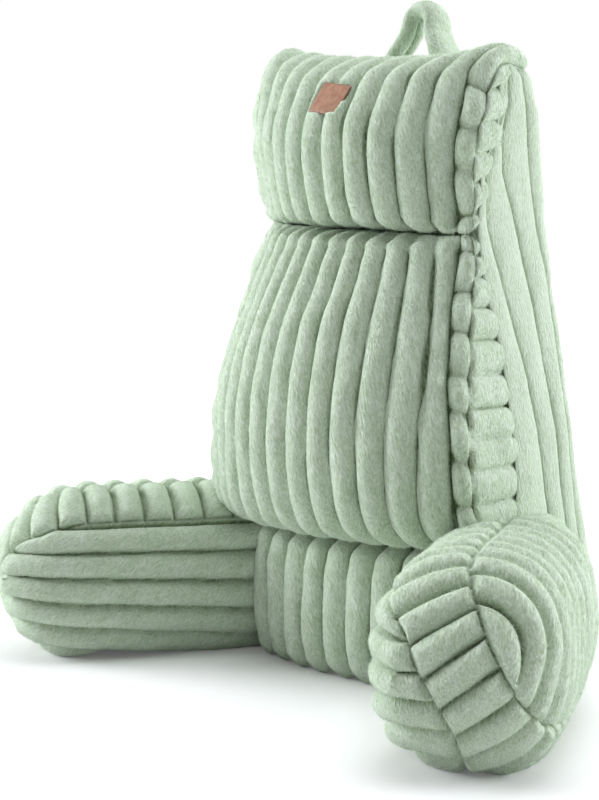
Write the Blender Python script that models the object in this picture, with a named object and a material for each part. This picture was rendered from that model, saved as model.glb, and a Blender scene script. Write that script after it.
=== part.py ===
"""Reading pillow with arms: a ribbed plush back rest with a head roll, a lumbar cushion, a lower front
panel, two splayed arms, a carry handle and a small leather patch.

Metres, +Z up, the front faces -Y, and the pillow stands on z = 0. Depths in the tables run backwards
from the foremost point of the lumbar cushion.
"""

import math

import bmesh
import bpy
import numpy as np

# Driving dimensions
RIB_PITCH = 0.032
GROOVE = 0.0095  # how deep a sewn groove lies under the crowns beside it
SEAM = 0.008  # how far the side seams are drawn in
GAP = 0.0003
DEPTH_TO_Y = -0.063  # puts the origin under the middle of the pillow's box

HEAD_RIBS = 10
LUMBAR_RIBS = 12
LOWER_RIBS = 8
BACK_RIBS = 10
ARM_INNER_RIBS = 5

FOOT_Z = 0.1541  # top of the lower front panel, where the lumbar cushion begins
CREASE_Z = 0.480  # crease between the lumbar cushion and the head roll
TOP_Z = 0.632  # top of the back, where the head roll folds over it
HEAD_Z = CREASE_Z + GAP
LID_Z = TOP_Z + GAP
LUMBAR_Z = FOOT_Z + GAP

# A rib's points across it: the place in the rib and the share of the groove's depth there
RIB_POINTS = ((0.0, 1.0), (0.2, 0.2), (0.8, 0.2))


def table(columns, rows):
    """A table of numbers that is read by the names of its columns."""
    return np.array(rows, dtype=[(name, float) for name in columns.split()])


# Plane on which the front cushions are sewn to the back, seen from the side
SEAM_LINE = table(
    "z depth",
    [
        (0.000, 0.120),
        (FOOT_Z, 0.130),
        (0.212, 0.151),
        (0.272, 0.151),
        (0.352, 0.144),
        (0.422, 0.132),
        (CREASE_Z, 0.130),
        (0.532, 0.134),
        (0.567, 0.150),
        (TOP_Z, 0.153),
    ],
)

# Side of the back: its half width, its rear face and the three grooves between its side ribs
SIDE = table(
    "z half rear groove_a groove_b groove_c",
    [
        (0.000, 0.214, 0.238, 0.165, 0.190, 0.210),
        (0.020, 0.224, 0.250, 0.170, 0.196, 0.216),
        (0.060, 0.224, 0.254, 0.173, 0.200, 0.220),
        (0.122, 0.213, 0.261, 0.182, 0.209, 0.229),
        (FOOT_Z, 0.204, 0.263, 0.187, 0.214, 0.233),
        (0.212, 0.196, 0.260, 0.187, 0.214, 0.233),
        (0.272, 0.192, 0.252, 0.178, 0.209, 0.227),
        (0.352, 0.180, 0.249, 0.164, 0.202, 0.224),
        (0.422, 0.167, 0.248, 0.146, 0.190, 0.223),
        (CREASE_Z, 0.160, 0.245, 0.137, 0.178, 0.213),
        (0.532, 0.160, 0.239, 0.138, 0.166, 0.205),
        (0.567, 0.165, 0.228, 0.155, 0.161, 0.195),
        (0.602, 0.171, 0.214, 0.153, 0.158, 0.184),
        (TOP_Z, 0.169, 0.199, 0.156, 0.160, 0.174),
    ],
)
BACK_BULGE = 0.014
CORNER = 0.024
CORNER_RIB = 0.030  # the rear corner's rib reaches this far onto the rear face
LEAST_RIB = 0.003

# Lumbar cushion, row by row from its foot to the crease: the seam's height, then depth and height of
# the line behind the lobes, of the front panel's edge and of the panel's middle
LUMBAR = table(
    "row seam_z lobe_d lobe_z edge_d edge_z mid_d mid_z",
    [
        (0, LUMBAR_Z, 0.130, LUMBAR_Z, 0.130, LUMBAR_Z, 0.130, LUMBAR_Z),
        (2, 0.165, 0.106, 0.159, 0.095, 0.156, 0.062, 0.1544),
        (4, 0.179, 0.089, 0.172, 0.076, 0.168, 0.026, 0.165),
        (6, 0.195, 0.080, 0.188, 0.066, 0.187, 0.010, 0.190),
        (8, 0.212, 0.077, 0.207, 0.063, 0.208, 0.003, 0.220),
        (11, 0.242, 0.074, 0.239, 0.061, 0.244, 0.000, 0.262),
        (14, 0.272, 0.074, 0.272, 0.061, 0.280, 0.003, 0.304),
        (18, 0.318, 0.081, 0.318, 0.067, 0.324, 0.012, 0.347),
        (21, 0.352, 0.089, 0.352, 0.075, 0.357, 0.022, 0.378),
        (25, 0.392, 0.098, 0.392, 0.085, 0.394, 0.038, 0.410),
        (28, 0.422, 0.107, 0.422, 0.094, 0.422, 0.050, 0.432),
        (31, 0.451, 0.115, 0.450, 0.104, 0.449, 0.066, 0.455),
        (33, 0.470, 0.120, 0.468, 0.114, 0.467, 0.088, 0.472),
        (34, CREASE_Z, 0.130, CREASE_Z, 0.130, CREASE_Z, 0.130, CREASE_Z),
    ],
)

# Head roll, row by row from the crease over the top to the rear seam
HEAD = table(
    "row seam_z lobe_d lobe_z edge_d edge_z mid_d mid_z lean",
    [
        (0, HEAD_Z, 0.130, HEAD_Z, 0.130, HEAD_Z, 0.130, HEAD_Z, 0.000),
        (1, 0.491, 0.121, 0.486, 0.116, 0.484, 0.088, 0.483, 0.000),
        (3, 0.512, 0.116, 0.508, 0.110, 0.505, 0.063, 0.502, 0.001),
        (5, 0.532, 0.114, 0.531, 0.105, 0.530, 0.053, 0.535, 0.003),
        (8, 0.567, 0.112, 0.565, 0.101, 0.567, 0.052, 0.577, 0.005),
        (11, 0.600, 0.118, 0.599, 0.105, 0.603, 0.066, 0.612, 0.007),
        (14, LID_Z, 0.131, 0.632, 0.118, 0.649, 0.093, 0.645, 0.011),
        (16, LID_Z, 0.146, 0.650, 0.145, 0.675, 0.135, 0.660, 0.012),
        (18, LID_Z, 0.170, 0.651, 0.178, 0.679, 0.183, 0.659, 0.012),
        (19, LID_Z, 0.182, 0.645, 0.193, 0.664, 0.202, 0.650, 0.008),
        (20, LID_Z, 0.189, LID_Z, 0.189, LID_Z, 0.202, LID_Z, 0.000),
    ],
)
HEAD_LID_ROW = 14  # from this row on the head roll lies on top of the back
HEAD_SWELL = 0.014  # how much wider its ends puff out there
REAR_LIP = 0.189  # depth of the head roll's rear seam at its ends

# Ends of the front cushions: a column of lobes beside the front panel, then a ladder of pads
PANEL_CURVE = 2.2  # how late a front panel turns back towards its ends
EDGE_IN = 0.018  # the front panel's edge lies this far inside the lobes
END_PINCH = 0.0128  # how far the end rows are drawn in
LOBE_ROWS = 4
PAD_ROWS = 3
FADE_ROWS = 3  # grooves run out over this many rows at both ends
LOBE_PLACES = (0.3, 0.7)
PAD_PLACES = (0.15, 0.85)
CROWN_SINK = 0.1
LOBE_SINK = 0.6
PAD_SINK = 0.7
GUSSET_LEAN = (1, 1, 1, 0.5, 0, 0)  # share of the head roll's lean at each point of a gusset

# Lower front panel, from the floor up: depth of its middle and of its ends
LOWER_HALF_WIDTH = 0.135
LOWER_CURVE = 2.5
LOWER_EDGE = 0.97  # share of the half width that the ribs take
LOWER = table(
    "z mid_d edge_d",
    [
        (0.000, 0.080, 0.100),
        (0.010, 0.067, 0.090),
        (0.030, 0.059, 0.084),
        (0.060, 0.056, 0.081),
        (0.090, 0.057, 0.081),
        (0.127, 0.062, 0.084),
        (0.145, 0.072, 0.092),
        (FOOT_Z, 0.088, 0.104),
    ],
)

# Arm
ARM_SPLAY = math.radians(29)
ARM_OFFSET = 0.236  # from the origin's line to the arm's own middle line
ARM_HALF_WIDTH = 0.090
ARM_HEIGHT = 0.191
ARM_MIDDLE_Z = 0.095
ARM_SAG = 0.012  # how much fuller the underside would be if the floor did not flatten it
ARM_ROOT = -0.105
ARM_STRAIGHT = 0.168
ARM_TIP = 0.272
ARM_END_TURN = math.radians(82)  # how far the rings follow the rounded end
ARM_END_SAMPLES = 200
ARM_END_NARROWER = 0.40
ARM_FULLNESS = 2.5  # 2 is a round section, more is squarer
ARM_SEAM_Z = 0.155  # where the boxing strip's seam runs on the inner side
ARM_FLOOR_SHARE = -0.97  # share of the half height where the inner panel meets the underside
ARM_ROOT_SHARE = 0.42  # share of its width that the arm starts with inside the body
ARM_ROOT_TAPER = 0.09
HOOP_SINK = 0.8
FULL_RELIEF_SHARE = 0.4  # grooves are full where the arm has this share of its height

# The arm's section beyond its inner panel: turn from the outer side, then how much of a crosswise and
# of a lengthwise groove each point takes
ARM_SECTION = table(
    "degrees crosswise lengthwise",
    [
        (258, 0.3, 0.0),
        (282, 0.3, 0.0),
        (305, 1.0, 0.0),
        (322, 1.0, 0.9),
        (334, 1.0, 0.1),
        (352, 1.0, 0.0),
        (372, 1.0, 0.0),
        (396, 1.0, 0.1),
        (409, 1.0, 0.9),
        (424, 1.0, 0.1),
        (452, 1.0, 0.0),
        (480, 1.0, 0.1),
    ],
)

# Carry handle
HANDLE_FOOT = 0.043  # from the middle to a leg's middle
HANDLE_FOOT_Z = 0.640
HANDLE_KNEE = (0.006, 0.022)  # from a leg's foot inwards and up to the start of the arch
HANDLE_TOP_Z = 0.729
HANDLE_RADIUS = 0.024
HANDLE_CLOSE = math.radians(20)  # how far the arch turns in past a half circle at each end
HANDLE_RINGS = 13
HANDLE_POINTS = 12
HANDLE_ROUNDING = 0.8  # 1 is a round section, less is squarer
HANDLE_DEPTH = 0.212
HANDLE_LEAN = 0.010
HANDLE_STRAP = (0.0110, 0.0185)  # half thickness and half width

# Leather patch on the head roll
PATCH = (0.045, 0.030, 0.002)
PATCH_POINTS = (7, 5)
PATCH_ROW = 11.3
PATCH_LIFT = 0.0007

SAGE = (0.52, 0.62, 0.44, 1.0)
LEATHER = (0.42, 0.20, 0.12, 1.0)
PLUSH_ROUGHNESS = 0.95
LEATHER_ROUGHNESS = 0.6


def clear_scene():
    """Removes whatever the file opened with."""
    for old in list(bpy.data.objects):
        bpy.data.objects.remove(old, do_unlink=True)


def plush(name, colour, roughness):
    """A plain material for one sub-part."""
    material = bpy.data.materials.new(name)
    material.use_nodes = True
    shader = material.node_tree.nodes["Principled BSDF"]
    shader.inputs["Base Color"].default_value = colour
    shader.inputs["Roughness"].default_value = roughness
    shader.inputs["Metallic"].default_value = 0.0
    return material


def smooth(keys, values, at):
    """Reads a smooth curve through a table's rows."""
    keys = np.asarray(keys, float)
    values = np.asarray(values, float)
    slopes = np.gradient(values, keys)
    i = np.clip(np.searchsorted(keys, at, side="right") - 1, 0, len(keys) - 2)
    span = keys[i + 1] - keys[i]
    t = (at - keys[i]) / span
    rise = values[i] * (2 * t**3 - 3 * t**2 + 1) + values[i + 1] * (3 * t**2 - 2 * t**3)
    return rise + span * (slopes[i] * (t**3 - 2 * t**2 + t) + slopes[i + 1] * (t**3 - t**2))


def seam_depth(z):
    """Depth of the plane between the back and the front cushions."""
    return np.interp(z, SEAM_LINE["z"], SEAM_LINE["depth"])


def half_width(z):
    """Half width of the pillow's body."""
    return np.interp(z, SIDE["z"], SIDE["half"])


def rib_columns(edges):
    """Places of the points across a run of ribs, and how much of the groove each has."""
    places = []
    drops = []
    for low, high in zip(edges[:-1], edges[1:]):
        for place, drop in RIB_POINTS:
            places.append(low + (high - low) * place)
            drops.append(drop)
    places.append(edges[-1])
    drops.append(1.0)
    return np.array(places), np.array(drops)


def normals(grid):
    """Unit normals of a grid of points, rows by columns."""
    along = np.gradient(grid, axis=0)
    across = np.gradient(grid, axis=1)
    normal = np.cross(across, along)
    return normal / np.maximum(np.linalg.norm(normal, axis=2, keepdims=True), 1e-9)


def make_object(name, points, faces, material=None):
    """One closed body from points and faces."""
    mesh = bpy.data.meshes.new(name)
    mesh.from_pydata([tuple(map(float, point)) for point in points], [], faces)
    work = bmesh.new()
    work.from_mesh(mesh)
    bmesh.ops.triangulate(work, faces=work.faces[:])
    bmesh.ops.recalc_face_normals(work, faces=work.faces)
    work.to_mesh(mesh)
    work.free()
    mesh.shade_smooth()
    body = bpy.data.objects.new(name, mesh)
    bpy.context.scene.collection.objects.link(body)
    if material:
        mesh.materials.append(material)
    return body


def skin(rings):
    """Faces between closed rings of points, with a flat cap at each end."""
    rows, columns = rings.shape[:2]
    faces = []
    for row in range(rows - 1):
        for column in range(columns):
            beside = (column + 1) % columns
            low = row * columns
            high = low + columns
            faces.append((low + column, low + beside, high + beside, high + column))
    faces.append(tuple(range(columns)))
    faces.append(tuple(range((rows - 1) * columns, rows * columns)))
    return faces


def to_world(x, depth, z):
    """Points from widths, depths and heights."""
    x, depth, z = np.broadcast_arrays(x, depth, z)
    return np.stack([x, depth + DEPTH_TO_Y, z], axis=-1)


def grown(body, amount):
    """A cutter a little larger than a body."""
    copy = body.copy()
    copy.data = body.data.copy()
    copy.name = body.name + "_cutter"
    bpy.context.scene.collection.objects.link(copy)
    work = bmesh.new()
    work.from_mesh(copy.data)
    work.normal_update()
    moves = [point.normal * amount for point in work.verts]
    for point, move in zip(work.verts, moves):
        point.co += move
    work.to_mesh(copy.data)
    work.free()
    copy.hide_render = True
    copy.display_type = "WIRE"
    return copy


def cut(body, cutters):
    """Takes each cutter out of a body."""
    for cutter in cutters:
        modifier = body.modifiers.new("clear_" + cutter.name, "BOOLEAN")
        modifier.operation = "DIFFERENCE"
        modifier.solver = "MANIFOLD"
        modifier.object = cutter


def panel(rows, half, across):
    """Points of a front panel, rows by places across it."""
    middle, edge = ((rows[name + "_d"][:, None], rows[name + "_z"][:, None]) for name in ("mid", "edge"))
    depth = middle[0] + (edge[0] - middle[0]) * np.abs(across) ** PANEL_CURVE
    z = middle[1] + (edge[1] - middle[1]) * across**2 - rows["lean"][:, None] * across
    return to_world(half[:, None] * across, depth, z)


def read_rows(source, rows):
    """Smooth values of a cushion's table at any of its rows."""
    names = [name for name in source.dtype.names if name not in ("row", "seam_z")]
    read = {name: smooth(source["row"], source[name], rows) for name in names}
    read.setdefault("lean", np.zeros(len(rows)))
    return read


def side_relief(rows, room):
    """How deep each point of a gusset lies under its crowns, from the lobes to the seam."""
    lobes = np.where(rows % LOBE_ROWS == 0, LOBE_SINK, CROWN_SINK)[:, None]
    pads = np.where(rows % PAD_ROWS == 0, PAD_SINK, CROWN_SINK)[:, None] * room
    relief = np.concatenate([lobes, lobes, PAD_SINK * room, pads, pads, 0 * room], axis=1)
    return relief * np.clip((rows - FADE_ROWS) / FADE_ROWS, 0, 1)[:, None]


def front_cushion(name, source, ribs, material, lid_row=None):
    """A filled cushion: its ribbed front panel, and at each end a gusset of lobes and pads.

    Its first and last row lie on the seam plane, and its back is flat from seam to seam. From
    lid_row on, where it has one, the seam runs over the top of the back.
    """
    rows = np.arange(source["row"][-1] + 1)
    inner = (rows > 0) & (rows < rows[-1])
    read = read_rows(source, rows)
    seam_z = np.interp(rows, source["row"], source["seam_z"])
    seam_d = seam_depth(seam_z) - GAP / 2
    over = np.zeros(len(rows))
    if lid_row:
        over = np.clip((rows - lid_row) / (rows[-1] - lid_row), 0, 1)
        seam_d = np.where(over > 0, seam_depth(TOP_Z) + over * (REAR_LIP - seam_depth(TOP_Z)), seam_d)
    ends = [0] if lid_row else [0, -1]
    for line in ("lobe", "edge", "mid"):
        read[line + "_z"][[0, -1]] = seam_z[[0, -1]]
        read[line + "_d"][ends] = seam_d[ends]
    half = half_width(seam_z)
    edge_x = half - EDGE_IN + HEAD_SWELL * np.clip(2 * over, 0, 1) * inner

    across, drop = rib_columns(np.linspace(-1, 1, ribs + 1))
    front = panel(read, edge_x, across)
    edge = to_world(edge_x, read["edge_d"], read["edge_z"])
    lobe = to_world(np.where(inner, half, half - END_PINCH), read["lobe_d"], read["lobe_z"])
    brow = to_world(np.where(inner, half, half - SEAM), seam_d, seam_z)
    seam = to_world(half - SEAM, seam_d, seam_z)
    lobe_points = [edge + (lobe - edge) * place for place in LOBE_PLACES]
    pad_points = [lobe + (brow - lobe) * place for place in PAD_PLACES]
    gusset = np.stack([*lobe_points, lobe, *pad_points, seam], axis=1)
    down = (read["lean"][:, None] * GUSSET_LEAN)[..., None] * [0, 0, 1]
    left = (gusset + down)[:, ::-1] * [-1, 1, 1]
    grid = np.concatenate([left, front, gusset - down], axis=1)

    room = np.clip((seam_d - read["lobe_d"]) / RIB_PITCH, CROWN_SINK, 1)[:, None]
    side = side_relief(rows, room)
    sink = np.concatenate([side[:, ::-1], np.tile(drop, (len(rows), 1)), side], axis=1)
    sink *= np.clip(np.minimum(rows, rows[-1] - rows) / FADE_ROWS, 0, 1)[:, None]
    outward = normals(grid)
    outward *= -np.sign(outward[len(rows) // 2, grid.shape[1] // 2, 1])
    outward[:, : len(GUSSET_LEAN)] = -1, 0, 0
    outward[:, -len(GUSSET_LEAN) :] = 1, 0, 0
    points = grid - outward * (sink * GROOVE)[..., None]
    return make_object(name, points.reshape(-1, 3), cushion_faces(*points.shape[:2]), material)


def cushion_faces(rows, columns):
    """Faces of a cushion: rings round its front and its flat back, and fans where both meet a seam."""
    faces = []
    for row in range(rows - 1):
        ring = columns if 0 < row < rows - 2 else columns - 1
        for column in range(ring):
            beside = (column + 1) % columns
            low = row * columns
            cell = (low + column, low + beside, low + columns + beside, low + columns + column)
            corners = {(0, 0): 0, (0, columns - 2): 1, (rows - 2, columns - 2): 2, (rows - 2, 0): 3}
            corner = corners.get((row, column))
            if corner is None:
                faces.append(cell)
            else:
                turned = cell[corner:] + cell[:corner]
                faces += [turned[:3], (turned[0], turned[2], turned[3])]
    middle = columns // 2
    for flat, beside in ((0, 1), (rows - 1, rows - 2)):
        left = beside * columns
        right = left + columns - 1
        for column in range(columns - 1):
            first = flat * columns + column
            faces.append((first, first + 1, left if column < middle else right))
        faces.append((flat * columns + middle, left, right))
    return faces


def back_outline(z):
    """The back's outline at one height, from the left seam round the rear to the right one."""
    values = {name: float(np.interp(z, SIDE["z"], SIDE[name])) for name in SIDE.dtype.names}
    start = float(seam_depth(z)) + GAP / 2
    half = values["half"]
    side = values["rear"] - CORNER - start
    turn = CORNER * math.pi / 2
    last = side + turn + CORNER_RIB - CORNER
    grooves = [0.0]
    for key in ("groove_a", "groove_b", "groove_c"):
        grooves.append(max(values[key] - start, grooves[-1] + LEAST_RIB))
    grooves.append(last)
    middle = side + turn + half - CORNER
    back = np.linspace(last, 2 * middle - last, BACK_RIBS + 1)
    edges = grooves[:-1] + list(back) + [2 * middle - value for value in grooves[-2::-1]]
    places, drops = rib_columns(edges)
    drops[0] = drops[-1] = 0.0
    outline = []
    for place, drop in zip(places, drops):
        mirror = place > middle
        run = 2 * middle - place if mirror else place
        sink = drop * GROOVE
        if run < side:
            x, depth = half - sink, start + run
        elif run < side + turn:
            angle = (run - side) / CORNER
            x = half - CORNER + (CORNER - sink) * math.cos(angle)
            depth = start + side + (CORNER - sink) * math.sin(angle)
        else:
            x, depth = half - CORNER - (run - side - turn), values["rear"] - sink
        share = min(abs(x) / half, 1.0)
        depth += BACK_BULGE * (1 - share**2) if run >= side + turn else 0.0
        outline.append((-x if not mirror else x, depth))
    outline[0] = (-(half - SEAM), start)
    outline[-1] = (half - SEAM, start)
    return to_world(np.array(outline)[:, 0], np.array(outline)[:, 1], z)


def build_back(material):
    """The back: side panels and rear panel of upright ribs, flat at the floor and at the seam plane."""
    rings = np.stack([back_outline(z) for z in SIDE["z"]])
    return make_object("back_frame", rings.reshape(-1, 3), skin(rings), material)


def build_lower(material):
    """The lower front panel between the arms."""
    across, drop = rib_columns(np.linspace(-1, 1, LOWER_RIBS + 1))
    rings = []
    for z, mid, edge in LOWER:
        depth = mid + (edge - mid) * np.abs(across) ** LOWER_CURVE + drop * GROOVE
        x = LOWER_HALF_WIDTH * np.concatenate([[-1], LOWER_EDGE * across, [1]])
        back = float(seam_depth(z)) - GAP / 2
        depth = np.concatenate([[back], depth, [back]])
        rings.append(to_world(x, depth, z))
    rings = np.stack(rings)
    return make_object("lower_front", rings.reshape(-1, 3), skin(rings), material)


def arm_stations():
    """Places along the arm whose distance along its top and round its end is even."""
    end = ARM_TIP - ARM_STRAIGHT
    angles = np.linspace(0, ARM_END_TURN, ARM_END_SAMPLES)
    along = ARM_STRAIGHT + end * np.sin(angles)
    high = ARM_HEIGHT / 2 * np.cos(angles)
    steps = np.hypot(np.diff(along), np.diff(high))
    arc = np.concatenate([[0], np.cumsum(steps)])
    straight = ARM_STRAIGHT - ARM_ROOT
    ribs = round((straight + arc[-1]) / RIB_PITCH)
    places, drops = rib_columns(np.linspace(0, straight + arc[-1], ribs + 1))
    angle = np.interp(places - straight, arc, angles, left=0.0)
    return np.minimum(places, straight) + ARM_ROOT + end * np.sin(angle), angle, drops


def arm_columns():
    """Points round an arm's section: inner panel ribs, floor, outer side and top."""
    top = (ARM_SEAM_Z - ARM_MIDDLE_Z) / (ARM_HEIGHT - ARM_MIDDLE_Z)
    inner, drops = rib_columns(np.linspace(top, ARM_FLOOR_SHARE, ARM_INNER_RIBS + 1))
    angles = math.pi - np.arcsin(np.sign(inner) * np.abs(inner) ** (ARM_FULLNESS / 2))
    around = np.concatenate([angles, np.radians(ARM_SECTION["degrees"])])
    crosswise = np.concatenate([np.zeros(len(inner)), ARM_SECTION["crosswise"]])
    lengthwise = np.concatenate([drops, ARM_SECTION["lengthwise"]])
    return around, crosswise, lengthwise


def build_arm(name, side, material):
    """One arm, from inside the body to its rounded end."""
    along, end_angle, row_drop = arm_stations()
    around, crosswise, lengthwise = arm_columns()
    power = 2 / ARM_FULLNESS
    wide = np.sign(np.cos(around)) * np.abs(np.cos(around)) ** power
    tall = np.sign(np.sin(around)) * np.abs(np.sin(around)) ** power
    taper = np.clip((along - ARM_ROOT) / ARM_ROOT_TAPER, 0, 1)
    width = ARM_HALF_WIDTH * (ARM_ROOT_SHARE + (1 - ARM_ROOT_SHARE) * np.sqrt(taper))
    width *= 1 - ARM_END_NARROWER * np.sin(end_angle) ** 3
    rings = []
    for place, half, height, drop in zip(along, width, np.cos(end_angle), row_drop):
        sink = GROOVE * np.minimum(crosswise * drop * HOOP_SINK + lengthwise, 1)
        sink *= min(1, height / FULL_RELIEF_SHARE, (half / ARM_HALF_WIDTH) ** 3)
        across = wide * (half - sink)
        reach = np.where(tall > 0, ARM_HEIGHT - ARM_MIDDLE_Z, ARM_MIDDLE_Z + ARM_SAG)
        z = np.maximum(ARM_MIDDLE_Z + tall * (reach * height - sink), 0.0)
        x = place * math.sin(ARM_SPLAY) + (ARM_OFFSET + across) * math.cos(ARM_SPLAY)
        depth = -place * math.cos(ARM_SPLAY) + (ARM_OFFSET + across) * math.sin(ARM_SPLAY)
        rings.append(to_world(side * x, depth, z))
    rings = np.stack(rings)
    return make_object(name, rings.reshape(-1, 3), skin(rings), material)


def build_handle(material):
    """The carry handle: a plush strap bent into a loop."""
    rise = HANDLE_TOP_Z - HANDLE_STRAP[0] - HANDLE_RADIUS
    turns = np.linspace(math.pi + HANDLE_CLOSE, -HANDLE_CLOSE, HANDLE_RINGS)
    arch = np.stack([HANDLE_RADIUS * np.cos(turns), rise + HANDLE_RADIUS * np.sin(turns)], axis=1)
    foot = np.array([-HANDLE_FOOT, HANDLE_FOOT_Z])
    left = np.stack([foot, foot + HANDLE_KNEE])
    path = np.concatenate([left, arch, left[::-1] * [-1, 1]])
    tangent = np.gradient(path, axis=0)
    tangent /= np.linalg.norm(tangent, axis=1, keepdims=True)
    out = np.stack([-tangent[:, 1], tangent[:, 0]], axis=1)
    angles = np.linspace(0, 2 * math.pi, HANDLE_POINTS, endpoint=False)
    thick = np.sign(np.cos(angles)) * np.abs(np.cos(angles)) ** HANDLE_ROUNDING * HANDLE_STRAP[0]
    wide = np.sign(np.sin(angles)) * np.abs(np.sin(angles)) ** HANDLE_ROUNDING * HANDLE_STRAP[1]
    rings = []
    for (x, z), (out_x, out_z) in zip(path, out):
        lean = HANDLE_DEPTH + HANDLE_LEAN * (z - HANDLE_FOOT_Z) / (HANDLE_TOP_Z - HANDLE_FOOT_Z)
        rings.append(to_world(x + out_x * thick, lean + wide, z + out_z * thick))
    rings = np.stack(rings)
    return make_object("carry_handle", rings.reshape(-1, 3), skin(rings), material)


def patch_grid():
    """Where the patch lies on the head roll's crowns, and which way is out."""
    width, height = PATCH[:2]
    columns, rows = PATCH_POINTS
    around = [PATCH_ROW - 0.5, PATCH_ROW + 0.5]
    read = read_rows(HEAD, np.array(around))
    pace = math.hypot(np.ptp(read["mid_z"]), np.ptp(read["mid_d"]))
    places = PATCH_ROW + np.linspace(-height / 2, height / 2, rows) / pace
    seam_z = np.interp(places, HEAD["row"], HEAD["seam_z"])
    half = half_width(seam_z) - EDGE_IN
    across = np.linspace(-width / 2, width / 2, columns) / half.mean()
    grid = panel(read_rows(HEAD, places), half, across)
    outward = normals(grid)
    outward *= -np.sign(outward[rows // 2, columns // 2, 1])
    return grid, outward


def build_patch(material):
    """The leather patch, bent over the two middle ribs of the head roll."""
    grid, outward = patch_grid()
    lift = PATCH_LIFT - RIB_POINTS[1][1] * GROOVE
    layers = [grid + outward * rise for rise in (lift, lift + PATCH[2])]
    points = np.concatenate([layer.reshape(-1, 3) for layer in layers])
    width, count = PATCH_POINTS
    size = count * width
    faces = []
    for row in range(count - 1):
        for column in range(width - 1):
            first = row * width + column
            face = (first, first + 1, first + width + 1, first + width)
            faces.append(face)
            faces.append(tuple(size + corner for corner in face))
    rim = list(range(width))
    rim += [row * width + width - 1 for row in range(1, count)]
    rim += [(count - 1) * width + column for column in range(width - 2, -1, -1)]
    rim += [row * width for row in range(count - 2, 0, -1)]
    for first, second in zip(rim, rim[1:] + rim[:1]):
        faces.append((first, second, size + second, size + first))
    return make_object("label_patch", points, faces, material)


def main():
    clear_scene()
    names = ("back", "head", "lumbar", "lower", "arm_left", "arm_right", "handle")
    fur = {name: plush(name + "_plush", SAGE, PLUSH_ROUGHNESS) for name in names}
    back = build_back(fur["back"])
    lumbar = front_cushion("lumbar_bolster", LUMBAR, LUMBAR_RIBS, fur["lumbar"])
    head = front_cushion("head_roll", HEAD, HEAD_RIBS, fur["head"], HEAD_LID_ROW)
    lower = build_lower(fur["lower"])
    cutters = [grown(body, 2 * GAP) for body in (back, lumbar, lower)]
    for name, side in (("arm_left", -1), ("arm_right", 1)):
        cut(build_arm(name, side, fur[name]), cutters)
    handle = build_handle(fur["handle"])
    cut(handle, [cutters[0], grown(head, 2 * GAP)])
    build_patch(plush("patch_leather", LEATHER, LEATHER_ROUGHNESS))


main()
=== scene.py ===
"""Dresses the reading pillow: ribbed sage plush over every filled part, soft pile and a leather patch.

Metres, +Z up, the front faces -Y, and the pillow stands on z = 0. Depths in the tables run backwards
from the foremost point of the lumbar cushion.
"""

import logging
import math
from dataclasses import dataclass, field
from enum import Enum
from typing import Iterable

import bpy
import numpy as np
from mathutils import Euler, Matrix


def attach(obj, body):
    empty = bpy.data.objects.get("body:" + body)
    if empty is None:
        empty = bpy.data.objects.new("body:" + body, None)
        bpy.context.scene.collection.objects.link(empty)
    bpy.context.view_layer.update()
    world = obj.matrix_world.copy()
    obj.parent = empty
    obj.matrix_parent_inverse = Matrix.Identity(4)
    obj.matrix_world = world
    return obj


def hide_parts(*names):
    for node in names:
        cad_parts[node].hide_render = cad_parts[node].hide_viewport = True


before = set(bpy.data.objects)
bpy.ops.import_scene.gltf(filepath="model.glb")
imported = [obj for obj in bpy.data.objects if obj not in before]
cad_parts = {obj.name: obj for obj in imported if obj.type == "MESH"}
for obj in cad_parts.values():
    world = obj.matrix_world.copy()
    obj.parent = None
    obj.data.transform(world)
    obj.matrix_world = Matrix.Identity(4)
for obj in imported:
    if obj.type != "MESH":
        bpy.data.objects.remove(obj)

log = logging.getLogger("reading_pillow")
Array = np.ndarray
Colour = tuple[float, float, float, float]

RIB_PITCH = 0.032
GROOVE = 0.0145  # how deep a sewn groove lies under the crowns beside it
SEAM = 0.008  # how far the side seams are drawn in
DEPTH_TO_Y = -0.063  # puts the origin under the middle of the pillow's box
FOOT_Z = 0.1541  # top of the lower front panel, where the lumbar cushion begins
CREASE_Z = 0.480  # crease between the lumbar cushion and the head roll
CREASE_REACH = 0.026  # how far from the crease the left side is drawn in
TOP_Z = 0.632  # top of the back, where the head roll folds over it
LID_DEPTH = 0.189  # depth of the rear seam on which the head roll's lid ends
SEAM_ROOM = 0.0012  # how far the front cushions stay off the back
PANEL_CURVE = 2.2  # power by which a front panel bends back to its edges
SHADE_FREE_HEIGHT = 0.5  # height on a rib from which the plush is painted without groove shade
COVER_TONE = 0.70  # tone of a cover's crowns, under the pile, which painted shade darkens towards the grooves
NAP_PULL = 0.75  # share of the way along the nap that the mottling leaves out

# Plane on which the front cushions are sewn to the back, seen from the side
SEAM_LINE_ROWS = [
    (0.000, 0.120),
    (FOOT_Z, 0.130),
    (0.212, 0.151),
    (0.272, 0.151),
    (0.352, 0.144),
    (0.422, 0.132),
    (CREASE_Z, 0.130),
    (0.532, 0.134),
    (0.567, 0.150),
    (TOP_Z, 0.153),
]

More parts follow.
